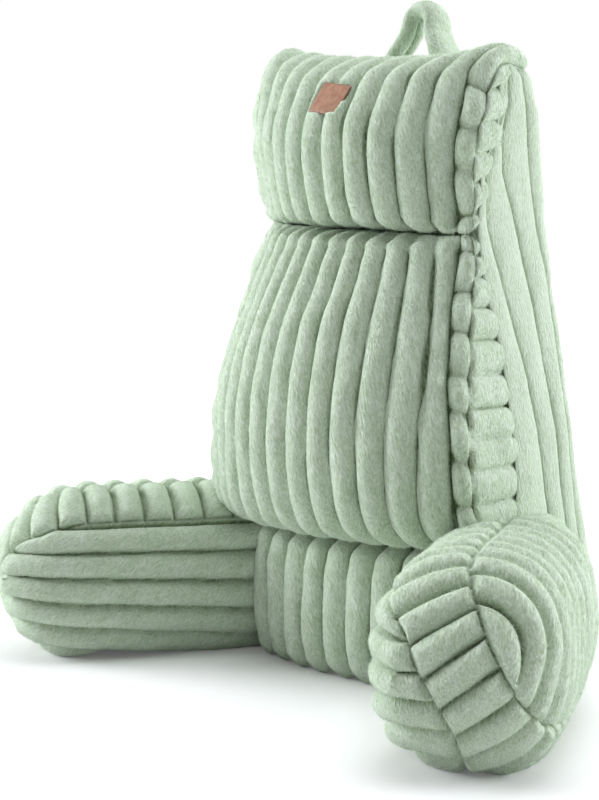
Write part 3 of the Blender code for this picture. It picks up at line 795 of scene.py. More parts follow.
@dataclass
class FrontCushion(PlushPiece):
    """A front cushion: its ribbed panel, and at each end a column of lobes and a ladder of pads.

    Attributes:
        rows: Its table, row by row upwards.
        pitch: Width of a rib.
        lid_row: Row from which it lies on top of the back, if it does.
        swell: How much wider its panel puffs out there.
        tuck: How far its ends are drawn in there.
        steps: Rows of points for each row of the table.
        front_columns: Columns of points across the panel.
        edge_in: How far the panel's edge lies in from the side.
        converge: How much narrower the ribs are at the crease.
        gather_reach: How far from the crease they narrow.
        pinch: How far the left side is drawn in at the crease.
        scallop: How far the ribs bulge over the crease.
        shift: How far the ribs lie off the middle.
        end_depth: Depth of the left end's relief beside the panel, and of all other ends.
        lobe_columns: Columns of points across the lobes.
        pad_columns: Columns of points across the pads.
        lobe_z: Heights of the seams between the lobes.
        pad_z: Heights of the seams between the pads.
        label: The patch that lies on it.
    """

    rows: Array = field(default_factory=lambda: LUMBAR)
    pitch: float = 0.0303
    lid_row: int = 0
    swell: float = 0.014
    tuck: float = 0.009
    steps: int = 4
    front_columns: int = 210
    edge_in: float = 0.018
    converge: float = 0.21
    gather_reach: float = 0.19
    pinch: float = 0.018
    scallop: float = 0.0035
    shift: float = 0.0025
    end_depth: tuple[float, float] = (0.05, 0.75)
    lobe_columns: int = 14
    pad_columns: int = 18
    lobe_z: tuple[float, ...] = (0.163, 0.205, 0.246, 0.294, 0.331, 0.374, 0.419, 0.464, 0.510)
    pad_z: tuple[float, ...] = (0.138, 0.171, 0.2035, 0.238, 0.2705, 0.3005, 0.3335, 0.367, 0.4, 0.431, 0.456, 0.48)
    label: "LabelPatch | None" = None

    def seam_height(self, row: Array) -> Array:
        """Gives the height of the seam on the back at any of the table's rows."""
        return np.interp(row, self.rows["row"], self.rows["seam_z"])

    def read(self, row: Array) -> dict[str, Array]:
        """Gives all other columns of the table at any of its rows."""
        return {name: smooth(self.rows["row"], self.rows[name], row) for name in self.rows.dtype.names[2:]}

    def bent(self, x: Array, across: Array, read: dict[str, Array]) -> Array:
        """Bends points of the panel from its middle back to its edges.

        Args:
            x: How far to the right of the middle they lie.
            across: The same as a share of the way to the edge.
            read: The table's columns there.

        Returns:
            The points.
        """
        depth = read["mid_d"] + (read["edge_d"] - read["mid_d"]) * np.abs(across) ** PANEL_CURVE
        z = read["mid_z"] + (read["edge_z"] - read["mid_z"]) * across**2 - read["lean"] * across
        return to_world(x, depth, z)

    def panel(self, row: Array, x: Array) -> Array:
        """Gives points of the ribbed panel before its grooves are sunk, below its lid.

        Args:
            row: Rows of the table.
            x: How far to the right of the middle.

        Returns:
            One point for each pair.
        """
        return self.bent(x, x / (side_half(self.seam_height(row)) - self.edge_in), self.read(row))

    def end_relief(self, height: Array, lobes: Array, pads: Array) -> Array:
        """Gives the relief of an end: a column of round lobes, a ladder of pads and the seam.

        Args:
            height: Height of each row beside the pads.
            lobes: Shares of the way across the lobes.
            pads: Shares of the way across the pads.

        Returns:
            The crown at each point, rows by columns.
        """
        waist = arch(np.interp(height, self.lobe_z, np.arange(len(self.lobe_z))), 1.7)
        oval = np.abs(2 * lobes - 1.0) / (0.65 + 0.45 * waist)
        bead = np.sqrt(np.clip(1 - oval**2, 0, 1)) * (0.25 + 0.95 * waist)
        round_end = np.sqrt(1 - np.clip((pads - 0.62) / 0.38, 0, 1) ** 2)
        rungs = arch(self.pad_count(height), 2.8)
        ladder = rungs * round_end * dip(pads + 0.12, 0.35)
        return np.concatenate([bead, ladder, np.zeros_like(height)], axis=1)

    def pad_count(self, height: Array) -> Array:
        """Counts the pads below any heights."""
        return np.interp(height, self.pad_z, np.arange(len(self.pad_z)))

    def skin(self) -> Skin:
        """Works out the cushion's skin.

        Returns:
            A closed ring of points for each row, with the flat back left to one long face.
        """
        last = self.rows["row"][-1]
        row = np.linspace(0, last, int(last) * self.steps + 1)[:, None]
        read = self.read(row)
        seam_z = self.seam_height(row)
        over = np.clip((row - self.lid_row) / (last - self.lid_row), 0, 1) * (self.lid_row > 0)
        seam_d = seam_depth(seam_z) - SEAM_ROOM
        seam_d = seam_d + over * (LID_DEPTH - seam_d)
        half = side_half(seam_z)
        inner = np.clip(np.minimum(row, last - row), 0, 1)
        edge_x = half - self.edge_in + self.swell * np.clip(2 * over, 0, 1) * inner

        # The panel's ribs, with more points in their grooves
        gather = np.clip(1 - np.abs(seam_z - CREASE_Z) / self.gather_reach, 0, 1) ** 1.5
        spread = edge_x / np.minimum(edge_x, half - self.edge_in)
        pitch = self.pitch * (1 - self.converge * gather) * spread
        across = np.linspace(-1, 1, self.front_columns)[None, :]
        phase = (edge_x * across + self.shift) / pitch
        off_edge = np.clip((1 - np.abs(across)) / 0.05, 0, 1)
        crowd = off_edge * 0.75 * np.sin(2 * math.pi * phase) / (2 * math.pi)
        across = across - crowd * pitch / edge_x
        front = self.bent(edge_x * across, across, read)
        wander = Lumps(self.seed + 9, 0.2).at(front) * 0.0008
        ribs = arch((front[..., 0] + self.shift + wander) / pitch)
        front[..., 2] -= self.scallop * (arch(phase) - 0.7) * near_crease(seam_z, 0.016) * off_edge

        # The ends, from the panel's edge over the lobes and the pads to the seam on the back
        lobes = np.linspace(0, 1, self.lobe_columns + 1)[1:]
        pads = np.linspace(0, 1, self.pad_columns + 1)[1:]
        rim = half - self.tuck * np.clip(2 * over, 0, 1)
        reach = (0.002 + 0.008 * arch(self.pad_count(read["lobe_z"]), 2.0)) * inner
        edge = to_world(edge_x, read["edge_d"], read["edge_z"])
        lobe = to_world((half + rim) / 2 - SEAM * (1 - inner), read["lobe_d"], read["lobe_z"])
        brow = to_world(rim - SEAM * (1 - inner), seam_d + reach, seam_z)
        seam = to_world(rim - 2 * SEAM, seam_d, seam_z)
        parts = [edge + (lobe - edge) * lobes[:, None], lobe + (brow - lobe) * pads[:, None], seam]
        gusset = np.concatenate(parts, axis=1)
        fade = np.concatenate([np.ones(len(lobes)), 1 - pads, [0.0]])
        down = (read["lean"] * fade)[..., None] * np.array([0, 0, 1])
        left = (gusset + down)[:, ::-1] * np.array([-1, 1, 1])
        grid = np.concatenate([left, front, gusset - down], axis=1)
        far_left = np.clip(-grid[..., 0] / 0.15, 0, 1) ** 2
        grid[..., 0] += self.pinch * far_left * near_crease(seam_z, CREASE_REACH)

        # The relief: shallow beside the panel on the left, where the outline is smooth
        soft, firm = self.end_depth
        seams = dip(edge_x - np.abs(front[..., 0]), self.pitch * 0.4)
        ribs = np.minimum(ribs, np.where(front[..., 0] < 0, 1 - soft * (1 - seams), seams))
        side = self.end_relief(read["lobe_z"], lobes, pads)
        left_depth = np.concatenate([soft + 0.65 * lobes**2, np.full(len(pads) + 1, firm)])
        left_side = (1 - left_depth * (1 - side))[:, ::-1]
        # Painted shade: the right end's seams get their full shade in the tone, though they sink only partly
        tone = np.concatenate([left_side, ribs, side], axis=1)
        crown = np.concatenate([left_side, ribs, 1 - firm * (1 - side)], axis=1)
        # The grooves run out at the first and last rows
        crown = 1 - (1 - crown) * np.clip(np.minimum(row, last - row) / 0.8, 0.35, 1)
        skin = Skin(grid, crown, np.array([0.35, 0.0, -1.0]), tone)
        if self.label:
            under = self.label.covers(grid)
            skin.crown = crown * (1 - under) + np.minimum(crown, 1 - self.label.sunk / self.relief) * under
            skin.bare = under > 0.9
        return skin


@dataclass
class BackRest(PlushPiece):
    """The back: upright ribs round its sides and rear, flat against the front cushions.

    Attributes:
        bulge: How far the rear swells out in its middle.
        corner: Radius of the rear corners.
        corner_rib: Length along the outline that the rib round a corner takes.
        rear_ribs: Number of ribs across the rear.
        rib_columns: Columns of points across a rib.
        tuck: How far its front edges reach under the front cushions.
        full_rib: Width from which a rib has its full height.
        foot: Height of the rounding at its foot, and how far the foot is drawn in.
        shoulder: Height of the rounding at its top, and how far the top is drawn in.
        pucker: How far its left front corner is drawn in at the crease.
    """

    bulge: float = 0.014
    corner: float = 0.024
    corner_rib: float = 0.030
    rear_ribs: int = 10
    rib_columns: int = 12
    tuck: float = 0.010
    full_rib: float = 0.016
    foot: tuple[float, float] = (0.012, 0.008)
    shoulder: tuple[float, float] = (0.018, 0.012)
    pucker: float = 0.032

    def outline(self, z: float) -> tuple[Array, Array]:
        """Gives the outline at one height, from the left seam round the rear to the right one.

        Args:
            z: The height.

        Returns:
            Points as widths and depths, and the crown at each.
        """
        values = {name: float(np.interp(z, SIDE["z"], SIDE[name])) for name in SIDE.dtype.names}
        start = float(seam_depth(z)) - self.tuck
        half = values["half"]
        side = values["rear"] - self.corner - start
        turn = self.corner * math.pi / 2
        last = side + turn + self.corner_rib - self.corner
        grooves = [0.0]
        for name in ("groove_a", "groove_b", "groove_c"):
            grooves.append(max(values[name] - start, grooves[-1] + 0.003))
        grooves.append(last)
        middle = side + turn + half - self.corner
        rear = np.linspace(last, 2 * middle - last, self.rear_ribs + 1)
        edges = grooves[:-1] + list(rear) + [2 * middle - value for value in grooves[-2::-1]]
        ease = across_rib(self.rib_columns)
        places, highs = [], []
        for low, top in zip(edges[:-1], edges[1:]):
            places.append(low + (top - low) * ease)
            highs.append(arch(ease, 2.3) * min(1.0, (top - low) / self.full_rib))
        place = np.concatenate([*places, [edges[-1]]])
        high = np.concatenate([*highs, [0.0]])
        mirror = place > middle
        run = np.where(mirror, 2 * middle - place, place)
        past = run - side - turn
        angle = np.clip((run - side) / self.corner, 0, math.pi / 2)
        x = half - self.corner + self.corner * np.cos(angle) - np.maximum(past, 0)
        depth = start + np.minimum(run, side) + self.corner * np.sin(angle)
        share = np.minimum(np.abs(x) / half, 1)
        depth = depth + self.bulge * (1 - share**2) * np.clip(past / 0.02, 0, 1)
        return np.stack([np.where(mirror, x, -x), depth], axis=1), high

    def skin(self) -> Skin:
        """Works out the back's skin.

        Returns:
            A ring of points for each height, the flat front left to one long face.
        """
        (foot, foot_in), (shoulder, top_in) = self.foot, self.shoulder
        heights = np.concatenate([np.linspace(0, foot, 5), np.linspace(0.016, TOP_Z + 0.014, 124)])
        rings, highs = [], []
        for z in heights:
            flat, high = self.outline(float(z))
            draw_in = foot_in * (1 - math.sqrt(max(0.0, 1 - (1 - min(1.0, z / foot)) ** 2)))
            draw_in += top_in * min(1.0, max(0.0, (z - TOP_Z + 0.004) / shoulder)) ** 2
            # The foot and the top are rounded, and the left front corner is drawn in at the crease
            front_share = np.clip(1 - (flat[:, 1] - flat[0, 1]) / 0.09, 0, 1) ** 2
            flat[:, 0] += self.pucker * near_crease(z, CREASE_REACH) * (flat[:, 0] < 0) * front_share
            flat[:, 0] *= 1 - draw_in / 0.2
            flat[:, 1] -= draw_in * np.clip((flat[:, 1] - 0.15) / 0.05, 0, 1)
            rings.append(to_world(flat[:, 0], flat[:, 1], z))
            highs.append(high)
        return Skin(np.stack(rings), np.stack(highs), np.array([0.0, 0.1, -1.0]), flip=True)


@dataclass
class LowerPanel(PlushPiece):
    """The lower front panel between the arms.

    Attributes:
        half_width: Half its width.
        ribs: Number of its ribs.
        rib_columns: Columns of points across a rib.
        spread: Share of its width that the ribs take.
        shift: How far they lie to the left.
        curve: Power by which it bends back to its edges.
    """

    half_width: float = 0.135
    ribs: int = 8
    rib_columns: int = 14
    spread: float = 0.97
    shift: float = 0.003
    curve: float = 2.5

    def skin(self) -> Skin:
        """Works out the panel's skin.

        Returns:
            A ring of points for each height.
        """
        z = np.concatenate([np.linspace(0, 0.03, 10), np.linspace(0.034, LOWER["z"][-1], 30)])[:, None]
        mid, edge = (smooth(LOWER["z"], LOWER[name], z) for name in ("mid_d", "edge_d"))
        rib = np.arange(self.ribs)[:, None] + across_rib(self.rib_columns)[None, :]
        rib = np.concatenate([rib.ravel(), [self.ribs]])
        across = 2 * rib / self.ribs - 1
        depth = mid + (edge - mid) * np.abs(across) ** self.curve
        x = np.broadcast_to(self.half_width * across * self.spread - self.shift, depth.shape)
        back = seam_depth(z) - SEAM_ROOM
        x = np.concatenate([-self.half_width + 0 * back, x, self.half_width + 0 * back], axis=1)
        depth = np.concatenate([back, depth, back], axis=1)
        crown = np.repeat(np.concatenate([[0.0], arch(rib), [0.0]])[None, :], len(z), axis=0)
        return Skin(to_world(x, depth, z), crown, np.array([0.3, 0.0, -1.0]))


@dataclass
class Arm(PlushPiece):
    """An arm: ribs along its inner side, hoops round its outer side, and a boxing strip over both.

    Attributes:
        end: Which end of the pillow it is sewn to.
        splay: How far it turns outwards.
        offset: How far its middle line lies from the pillow's.
        half_width: Half its width.
        height: Height of its top.
        middle_z: Height of its middle line.
        sag: How far its underside would hang below the floor, on which it lies flat.
        root: Where it begins, along its middle line.
        straight: Where its end starts to round off.
        tip: Where it ends.
        fullness: How square its section is.
        ring_columns: Points round its section.
        seam_z: Height of a seam between the inner ribs.
        strip_z: Height at which the boxing strip's middle crosses the arm's.
        strip_tilt: How far the strip leans inwards.
        strip_inner: Where its inner edge lies.
        strip_outer: Where its outer edge lies.
        pad_tilt: How far the pads round the end lean outwards.
        pad_pitch: Width of a pad round the end.
        top_pitch: Width of a rib across the top.
        first_pad: Where the pads begin, along the strip.
        end_radius: Radius by which the pads turn round the end.
        floor: Share of a rib that its flat grooves take.
    """

    end: End = End.RIGHT
    splay: float = math.radians(29)
    offset: float = 0.236
    half_width: float = 0.090
    height: float = 0.191
    middle_z: float = 0.095
    sag: float = 0.012
    root: float = -0.105
    straight: float = 0.168
    tip: float = 0.272
    fullness: float = 2.5
    ring_columns: int = 240
    seam_z: float = 0.155
    strip_z: float = 0.085
    strip_tilt: float = math.radians(26)
    strip_inner: float = -0.022
    strip_outer: float = 0.045
    pad_tilt: float = math.radians(42)
    pad_pitch: float = 0.0297
    top_pitch: float = 0.0335
    first_pad: float = 0.075
    end_radius: float = 0.1
    floor: float = 0.07

    def section(self) -> tuple[Array, Array]:
        """Gives the arm's section, with points evenly spaced round it.

        Returns:
            How far out and how far up each lies, as shares of half the width and height.
        """
        around = np.linspace(0, 2 * math.pi, 4001)
        wide, tall = (np.sign(way) * np.abs(way) ** (2 / self.fullness) for way in (np.cos(around), np.sin(around)))
        rim = length_along(wide * self.half_width, tall * self.height / 2)
        even = np.linspace(0, rim[-1], self.ring_columns + 1)[:-1]
        return np.interp(even, rim, wide), np.interp(even, rim, tall)

    def ribbing(self, p: Array, across: Array, z: Array, upper: Array) -> Array:
        """Gives the relief of the arm's ribs, hoops and boxing strip.

        Args:
            p: How far along the arm's middle line each point lies.
            across: How far outwards from it.
            z: Its height.
            upper: Whether it belongs to the upper half.

        Returns:
            The crown at each point.
        """
        # The strip widens outwards near the floor, and inwards before the rounded end
        up_z = z - self.strip_z
        beside = across * math.cos(self.strip_tilt) + up_z * math.sin(self.strip_tilt)
        outer = self.strip_outer + 0.015 * np.clip((0.10 - z) / 0.09, 0, 1)
        inner = self.strip_inner - 0.012 * np.clip((0.26 - p) / 0.03, 0, 1)
        outside = beside > outer
        # Its ribs run across the top, and its pads turn round the end down to the underside
        tilted = up_z * math.cos(self.pad_tilt) - across * math.sin(self.pad_tilt)
        ahead = np.maximum(p - self.straight, 0)
        run = self.end_radius * np.arctan2(ahead, tilted)
        run = run + np.where((ahead <= 0) & upper, p - self.straight + 0.04 * across, 0)
        run = run + np.where((ahead <= 0) & ~upper, self.straight - p, 0)
        pitch = np.where(run < self.first_pad, self.top_pitch, self.pad_pitch)
        strip = arch((run - self.first_pad) / pitch, floor=self.floor)
        # The hoops slant, and those near the end are narrower
        slant = p + 0.4 * (z - self.middle_z)
        hoops = arch((slant - 0.250 + 0.5 * np.maximum(slant - 0.24, 0)) / RIB_PITCH, floor=self.floor)
        lengthwise = arch((self.seam_z - z) / (0.035 - 0.007 * np.clip(p / 0.25, 0, 1)), floor=self.floor)
        crown = np.where(beside < inner, lengthwise, np.where(outside, hoops, strip))
        seam = np.minimum(np.abs(beside - inner), np.abs(beside - outer))
        crown = np.minimum(crown, dip(seam, 0.010))
        # The hoops rise slowly where the arm comes out of the back
        grown = np.clip((p - self.root - 0.05) / 0.08, 0, 1)
        return np.clip(1 - (1 - crown) * np.where(outside, grown, 1.0), 0, 1)

    def skin(self) -> Skin:
        """Works out the arm's skin.

        Returns:
            Rings of points from inside the body to the rounded end.
        """
        reach = self.tip - self.straight
        angles = np.linspace(0, math.radians(89.8), 600)
        arc = length_along(reach * np.sin(angles), self.height / 2 * np.cos(angles))
        flat = self.straight - self.root
        run = np.concatenate([np.linspace(0, flat, 140)[:-1], flat + np.linspace(0, arc[-1], 86)])[:, None]
        end_angle = np.interp(run - flat, arc, angles, left=0.0)
        along = np.minimum(run, flat) + self.root + reach * np.sin(end_angle)
        wide, tall = self.section()
        taper = np.sqrt(np.clip((along - self.root) / 0.09, 0, 1))
        width = self.half_width * (0.42 + 0.58 * taper) * (1 - 0.40 * np.sin(end_angle) ** 3)
        up = np.where(tall > 0, self.height - self.middle_z, self.middle_z + self.sag)
        z = np.maximum(self.middle_z + tall * up * np.cos(end_angle), 0.0)
        across = wide * width
        p = along + 0 * across
        crown = self.ribbing(p, across, z, tall > 0)

        sign, sine, cosine = self.end.value, math.sin(self.splay), math.cos(self.splay)
        x = p * sine + (self.offset + across) * cosine
        depth = -p * cosine + (self.offset + across) * sine
        nap = np.array([0.4 * sign, -0.5, -0.6])
        ahead = np.array([sign * sine, -cosine, 0.0])
        return Skin(to_world(sign * x, depth, z), crown, nap, bare=z < 0.002, flip=sign < 0, cap=ahead)


@dataclass
class CarryHandle(PlushPiece):
    """The carry handle: a plush strap bent into a loop.

    Attributes:
        feet: Where its left and right foot stand.
        foot_z: Height at which they come out of the rear seam.
        top_z: Height of its top.
        radius: Radius of its bend.
        depth: Depth of its middle.
        lean: How much further back its top is.
        strap: Half the strap's thickness and half its width.
        flare: How wide it is at its left foot, on top and at its right foot.
        eased: How often its path is smoothed.
    """

    feet: tuple[float, float] = (-0.072, 0.059)
    foot_z: float = 0.640
    top_z: float = 0.729
    radius: float = 0.018
    depth: float = 0.212
    lean: float = 0.010
    strap: tuple[float, float] = (0.0100, 0.0170)
    flare: tuple[float, float, float] = (0.9, 1.0, 1.55)
    eased: int = 18

    def path(self) -> Array:
        """Gives the strap's middle line.

        Returns:
            Widths and heights from the left foot over the top to the right one.
        """
        middle = self.top_z - self.strap[0] - self.radius
        close = math.radians(20)
        turns = np.linspace(math.pi + close, -close, 40)
        bend = np.stack([self.radius * np.cos(turns), middle + self.radius * np.sin(turns)], axis=1)
        share = np.linspace(0, 1, 24)[:-1, None]
        left, right = (np.array([x, self.foot_z - 0.012]) for x in self.feet)
        path = np.concatenate([left + (bend[0] - left) * share, bend, (right + (bend[-1] - right) * share)[::-1]])
        for _ in range(self.eased):
            path[1:-1] = (path[:-2] + 2 * path[1:-1] + path[2:]) / 4
        return path

    def skin(self) -> Skin:
        """Works out the strap's skin.

        Returns:
            Rings of points from one foot over the top to the other.
        """
        path = self.path()
        tangent = unit(np.gradient(path, axis=0))
        around = np.linspace(0, 2 * math.pi, 33)[:-1]
        thick = np.cos(around) * self.strap[0]
        flare = np.interp(np.linspace(0, 2, len(path)), [0, 1, 2], self.flare)
        wide = np.sin(around) * self.strap[1] * flare[:, None]
        tilt = self.depth + self.lean * (path[:, 1:] - self.foot_z) / (self.top_z - self.foot_z)
        x = path[:, :1] - tangent[:, 1:] * thick
        z = path[:, 1:] + tangent[:, :1] * thick
        crown = np.repeat(dip(np.cos(around) + 1, 0.08)[None, :], len(path), axis=0)
        return Skin(to_world(x, tilt + wide, z), crown, np.array([0.2, 0.2, -1.0]), flip=True)


@dataclass(frozen=True)
class Leather:
    """Brown leather: fine pebbled grain, uneven tone and burnished edges.

    Attributes:
        name: The material's name.
        colour: Its colour in the middle.
        rubbed: Its colour where it is worn lighter.
        burnt: Its colour along the burnished edges.
        grain: How many grains fit in a metre.
        cloud: How many patches of wear fit in a metre.
        dull: Its roughness where it is whole, and where it is worn.
        pebble: Height of the grain.
    """

    name: str = "patch_leather"
    colour: Colour = (0.275, 0.134, 0.078, 1.0)
    rubbed: Colour = (0.365, 0.196, 0.126, 1.0)
    burnt: Colour = (0.060, 0.026, 0.015, 1.0)
    grain: float = 1100.0
    cloud: float = 160.0
    dull: tuple[float, float] = (0.62, 0.42)
    pebble: float = 0.0002

    def material(self) -> bpy.types.Material:
        """Builds the leather.

        Returns:
            The material.
        """
        made = bpy.data.materials.new(self.name)
        made.use_nodes = True
        wiring = Wiring(made.node_tree)
        place = wiring.add("TexCoord").outputs["Object"]
        pebbles = wiring.add("TexVoronoi", {"Vector": place, "Scale": self.grain})
        pebbles.feature = "DISTANCE_TO_EDGE"
        wear = wiring.ramp(wiring.noise(place, self.cloud, 5.0), (0.35, 0.65))
        toned = wiring.mix(wear, self.colour, self.rubbed)
        height = {"Strength": 0.4, "Distance": self.pebble, "Height": pebbles.outputs["Distance"]}
        surface = {
            "Base Color": wiring.mix(wiring.stored("edge"), toned, self.burnt),
            "Roughness": wiring.ramp(wear, (0.0, 1.0), self.dull),
            "Normal": wiring.add("Bump", height).outputs["Normal"],
            "Specular IOR Level": 0.35,
        }
        wiring.feed(made.node_tree.nodes["Principled BSDF"], surface)
        return made


@dataclass
class LabelPatch:
    """The bare leather patch that lies among the pile of the head roll.

    Attributes:
        host: The cushion that carries it.
        node: The solid that it replaces.
        row: Row of the cushion's table at its middle.
        middle_x: How far its middle is to the right.
        size: Its width and height.
        turn: How far its lower edge is turned clockwise.
        skew: How much further its sides lean.
        corner: Radius of its corners.
        thick: Thickness of the leather.
        lift: Height of its face over the cushion's crowns.
        droop: How much lower its right foot corner lies.
        sunk: How far the plush is pressed in under it.
        shift: How far that dent lies up and to the left of it.
        worn_edge: Width of the burnished edge, and how far the edge is rounded down.
        points: Points along each of its edges.
        finish: Its leather.
    """

    host: FrontCushion
    node: str = "label_patch"
    row: float = 11.1
    middle_x: float = 0.002
    size: tuple[float, float] = (0.042, 0.036)
    turn: float = math.radians(7)
    skew: float = math.radians(7)
    corner: float = 0.003
    thick: float = 0.0014
    lift: float = -0.0012
    droop: float = 0.0030
    sunk: float = 0.0050
    shift: float = 0.002
    worn_edge: tuple[float, float] = (0.0010, 0.0004)
    points: int = 25
    finish: Leather = Leather()

    def place(self) -> tuple[Array, Array, float]:
        """Finds where the patch lies on its cushion.

        Returns:
            Its middle, the way up along the cushion and the length of one row of the table.
        """
        near = self.host.panel(self.row + np.array([-0.5, 0.0, 0.5]), np.full(3, self.middle_x))
        pace = float(np.linalg.norm(near[2] - near[0]))
        return near[1], (near[2] - near[0]) / pace, pace

    def covers(self, grid: Array) -> Array:
        """Tells which points of the cushion lie under the patch.

        Args:
            grid: The points.

        Returns:
            A share for each, from 0 outside to 1 inside.
        """
        middle, up, _ = self.place()
        away = grid - middle
        right = away[..., 0] * math.cos(self.turn) - away @ up * math.sin(self.turn + self.skew)
        rise = away[..., 0] * math.sin(self.turn) + away @ up * math.cos(self.turn)
        past_side = np.abs(right + self.shift) - self.size[0] / 2
        past_top = np.abs(rise - self.shift) - self.size[1] / 2
        share = np.clip((0.0015 - np.maximum(past_side, past_top)) / 0.003, 0, 1)
        return ease_in(share * (np.abs(away @ np.cross([1.0, 0.0, 0.0], up)) < 0.02))

    def build(self) -> None:
        """Cuts the patch, bends it over the cushion and ties it to the frame."""
        _, _, pace = self.place()
        step = np.linspace(-1, 1, self.points)
        s, t = np.meshgrid(step, step)
        half_w, half_h = self.size[0] / 2, self.size[1] / 2
        # Round the corners: pull in what lies past the middle of a corner's circle
        past = np.stack([np.abs(s) * half_w - half_w + self.corner, np.abs(t) * half_h - half_h + self.corner])
        past = np.maximum(past, 0)
        pull = np.max(past, axis=0) / np.maximum(np.linalg.norm(past, axis=0), 1e-9)
        pull = np.where(np.min(past, axis=0) > 0, pull, 1.0)
        a = np.sign(s) * (np.abs(s) * half_w - past[0] * (1 - pull))
        b = np.sign(t) * (np.abs(t) * half_h - past[1] * (1 - pull))
        # Turn it and lay it on the cushion's panel
        x = self.middle_x + a * math.cos(self.turn) + b * math.sin(self.turn + self.skew)
        row = self.row + (b * math.cos(self.turn) - a * math.sin(self.turn)) / pace
        face = self.host.panel(row, x)
        out = unit(np.cross(np.gradient(face, axis=1), np.gradient(face, axis=0)))
        edge_width, edge_drop = self.worn_edge
        worn = np.clip(1 - np.minimum(half_w - np.abs(a), half_h - np.abs(b)) / edge_width, 0, 1) ** 2
        lift = self.lift - self.droop * np.clip((a / half_w - b / half_h) / 2, 0, 1) ** 2
        top = face + out * (lift - edge_drop * worn)[..., None]
        under = face + out * (lift - self.thick)[..., None]
        total = self.points**2
        corner = np.arange(total).reshape(self.points, self.points)
        faces = np.stack([corner[:-1, :-1], corner[:-1, 1:], corner[1:, 1:], corner[1:, :-1]], axis=-1)
        faces = faces.reshape(-1, 4)
        loop = np.concatenate([corner[0, :-1], corner[:-1, -1], corner[-1, :0:-1], corner[:0:-1, 0]])
        ahead = np.roll(loop, -1)
        rims = np.stack([loop, loop + total, ahead + total, ahead], axis=1)
        every = faces.tolist() + (faces[:, ::-1] + total).tolist() + rims.tolist()
        patch = put_faces(self.node + "_leather", np.stack([top, under]), every, self.finish.material())
        put_values(patch.data, "edge", np.concatenate([(worn * 0.5).ravel(), np.ones(total)]))
        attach(patch, "root")
        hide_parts(self.node)
        log.info("%s: %d points", self.node, 2 * total)


@dataclass(frozen=True)
class SoftLight:
    """A square light aimed at the pillow.

    Attributes:
        name: Its name.
        place: Where it stands.
        size: Length of its sides.
        power: Its power in watts.
        colour: Its colour.
        aim_z: Height at which it is aimed.
    """

    name: str
    place: tuple[float, float, float]
    size: float
    power: float
    colour: tuple[float, float, float] = (0.965, 0.985, 1.04)
    aim_z: float = 0.25

    def hang(self) -> None:
        """Puts the light into the scene."""
        lamp = bpy.data.lights.new(self.name, "AREA")
        lamp.shape = "SQUARE"
        lamp.size = self.size
        lamp.energy = self.power
        lamp.color = self.colour
        holder = bpy.data.objects.new(self.name, lamp)
        holder.location = self.place
        aim = -np.array(self.place) + np.array([0, 0, self.aim_z])
        yaw = math.atan2(aim[1], aim[0]) - math.pi / 2
        tip = math.atan2(aim[2], math.hypot(aim[0], aim[1])) + math.pi / 2
        holder.rotation_euler = Euler((tip, 0.0, yaw))
        bpy.context.scene.collection.objects.link(holder)


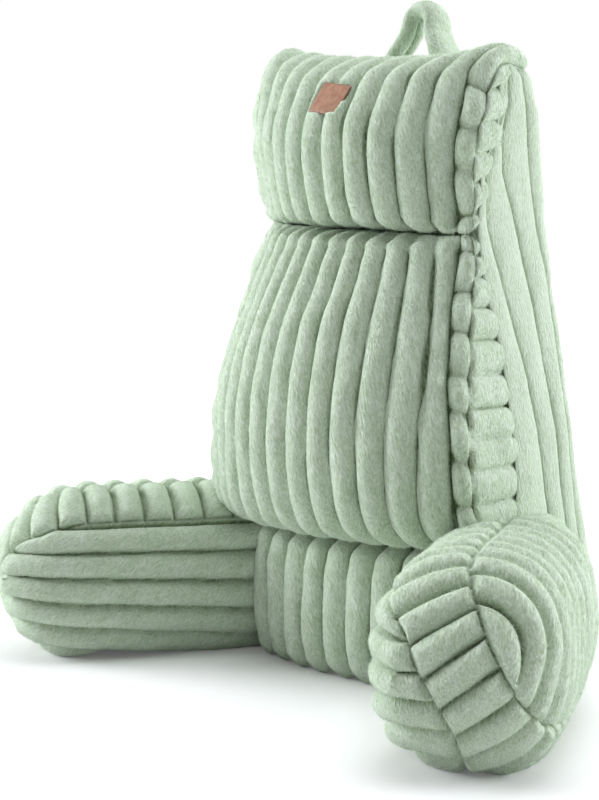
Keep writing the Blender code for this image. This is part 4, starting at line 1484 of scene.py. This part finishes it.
@dataclass(frozen=True)
class Studio:
    """Pale floor, soft lights and the camera.

    Attributes:
        floor_colour: The floor's colour.
        floor_half: Half the floor's width.
        floor_gap: How far it lies under the pillow.
        floor_glow: How strongly it glows by the pillow, and far away.
        glow_reach: Where that glow begins to rise, and where it ends.
        dark_side: Direction from which less light comes.
        sky: Strength of the light from the other side, and from the dark one.
        lights: The soft lights.
        place: Where the camera stands.
        turn: How far it is turned, in degrees.
        pitch: How far it looks down, in degrees.
        lens: Its focal length in millimetres.
    """

    floor_colour: Colour = (0.85, 0.85, 0.85, 1.0)
    floor_half: float = 30.0
    floor_gap: float = 0.0005
    floor_glow: tuple[float, float] = (0.09, 1.0)
    glow_reach: tuple[float, float] = (0.6, 3.0)
    dark_side: tuple[float, float, float] = (0.695, -0.719, 0.0)
    sky: tuple[float, float] = (1.02, 0.25)
    lights: tuple[SoftLight, ...] = (
        SoftLight("left_light", (-2.2, -1.5, 1.0), 1.2, 70),
        SoftLight("right_light", (1.9, 1.9, 0.8), 1.4, 55),
        SoftLight("top_light", (0.3, 0.1, 2.6), 1.8, 34),
    )
    place: tuple[float, float, float] = (1.19902, -1.20007, 0.44909)
    turn: float = 45.845
    pitch: float = 5.065
    lens: float = 72.82

    def lay_floor(self) -> None:
        """Lays the floor, which the camera sees fade to white far from the pillow."""
        paint = bpy.data.materials.new("floor_paint")
        paint.use_nodes = True
        wiring = Wiring(paint.node_tree)
        away = wiring.add("VectorMath", {0: wiring.add("TexCoord").outputs["Object"]})
        away.operation = "LENGTH"
        rise = wiring.ramp(away.outputs["Value"], self.glow_reach, self.floor_glow)
        seen = wiring.add("LightPath").outputs["Is Camera Ray"]
        surface = {
            "Base Color": self.floor_colour,
            "Roughness": 0.9,
            "Emission Color": (1.0, 1.0, 1.0, 1.0),
            "Emission Strength": wiring.number("MULTIPLY", rise, seen),
        }
        wiring.feed(paint.node_tree.nodes["Principled BSDF"], surface)
        signs = np.array([(-1, -1), (1, -1), (1, 1), (-1, 1)])
        corners = np.column_stack([signs * self.floor_half, np.full(4, -self.floor_gap)])
        put_faces("floor", corners, [(0, 1, 2, 3)], paint)

    def light_sky(self) -> None:
        """Sets the light from all round, darker from one side, which the camera sees as plain white."""
        world = bpy.data.worlds.new("studio")
        world.use_nodes = True
        wiring = Wiring(world.node_tree)
        facing = wiring.add("VectorMath", {0: wiring.add("TexCoord").outputs["Generated"], 1: self.dark_side})
        facing.operation = "DOT_PRODUCT"
        fall = wiring.ramp(facing.outputs["Value"], (-0.6, 0.6), self.sky)
        fall.node.interpolation_type = "SMOOTHSTEP"
        seen = wiring.add("LightPath").outputs["Is Camera Ray"]
        strength = wiring.add("Mix", {"Factor": seen, "A": fall, "B": 1.0}).outputs["Result"]
        background = {"Color": (1.0, 1.0, 1.0, 1.0), "Strength": strength}
        wiring.feed(world.node_tree.nodes["Background"], background)
        bpy.context.scene.world = world

    def set_camera(self) -> None:
        """Sets up the camera and shows colours as they are."""
        lens = bpy.data.cameras.new("camera")
        lens.lens = self.lens
        lens.sensor_width = 36.0
        camera = bpy.data.objects.new("camera", lens)
        camera.location = self.place
        camera.rotation_euler = Euler((math.radians(90 - self.pitch), 0.0, math.radians(self.turn)))
        bpy.context.scene.collection.objects.link(camera)
        bpy.context.scene.camera = camera
        bpy.context.scene.view_settings.view_transform = "Standard"

    def build(self) -> None:
        """Lays the floor, hangs the lights and sets up the camera."""
        self.lay_floor()
        self.light_sky()
        for light in self.lights:
            light.hang()
        self.set_camera()
        log.info("studio: floor, %d lights and camera", len(self.lights))


def main() -> None:
    """Builds every piece in order."""
    logging.basicConfig(level=logging.INFO, format="%(name)s: %(message)s")
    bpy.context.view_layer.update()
    head = FrontCushion(
        "head_roll",
        blades=80000,
        seed=31,
        rows=HEAD,
        pitch=0.0301,
        lid_row=14,
        edge_in=0.0225,
        converge=0.02,
        gather_reach=0.07,
        lobe_z=(0.455, 0.499, 0.541, 0.581, 0.621, 0.672),
        pad_z=(0.46, 0.497, 0.526, 0.553, 0.584, 0.621, 0.66),
    )
    head.label = LabelPatch(head)
    pieces = [
        BackRest("back_frame", blades=75000, seed=11, relief=0.0055, deep=0.38, finish=CALM_PLUSH),
        FrontCushion("lumbar_bolster", blades=115000, seed=21),
        head,
        LowerPanel("lower_front", blades=28000, seed=41),
        Arm("arm_left", blades=110000, seed=51, deep=0.3, end=End.LEFT),
        Arm("arm_right", blades=110000, seed=61, deep=0.3, end=End.RIGHT),
        CarryHandle("carry_handle", blades=14000, seed=71, relief=0.005),
        head.label,
        Studio(),
    ]
    for piece in pieces:
        piece.build()


if __name__ == "__main__":
    main()
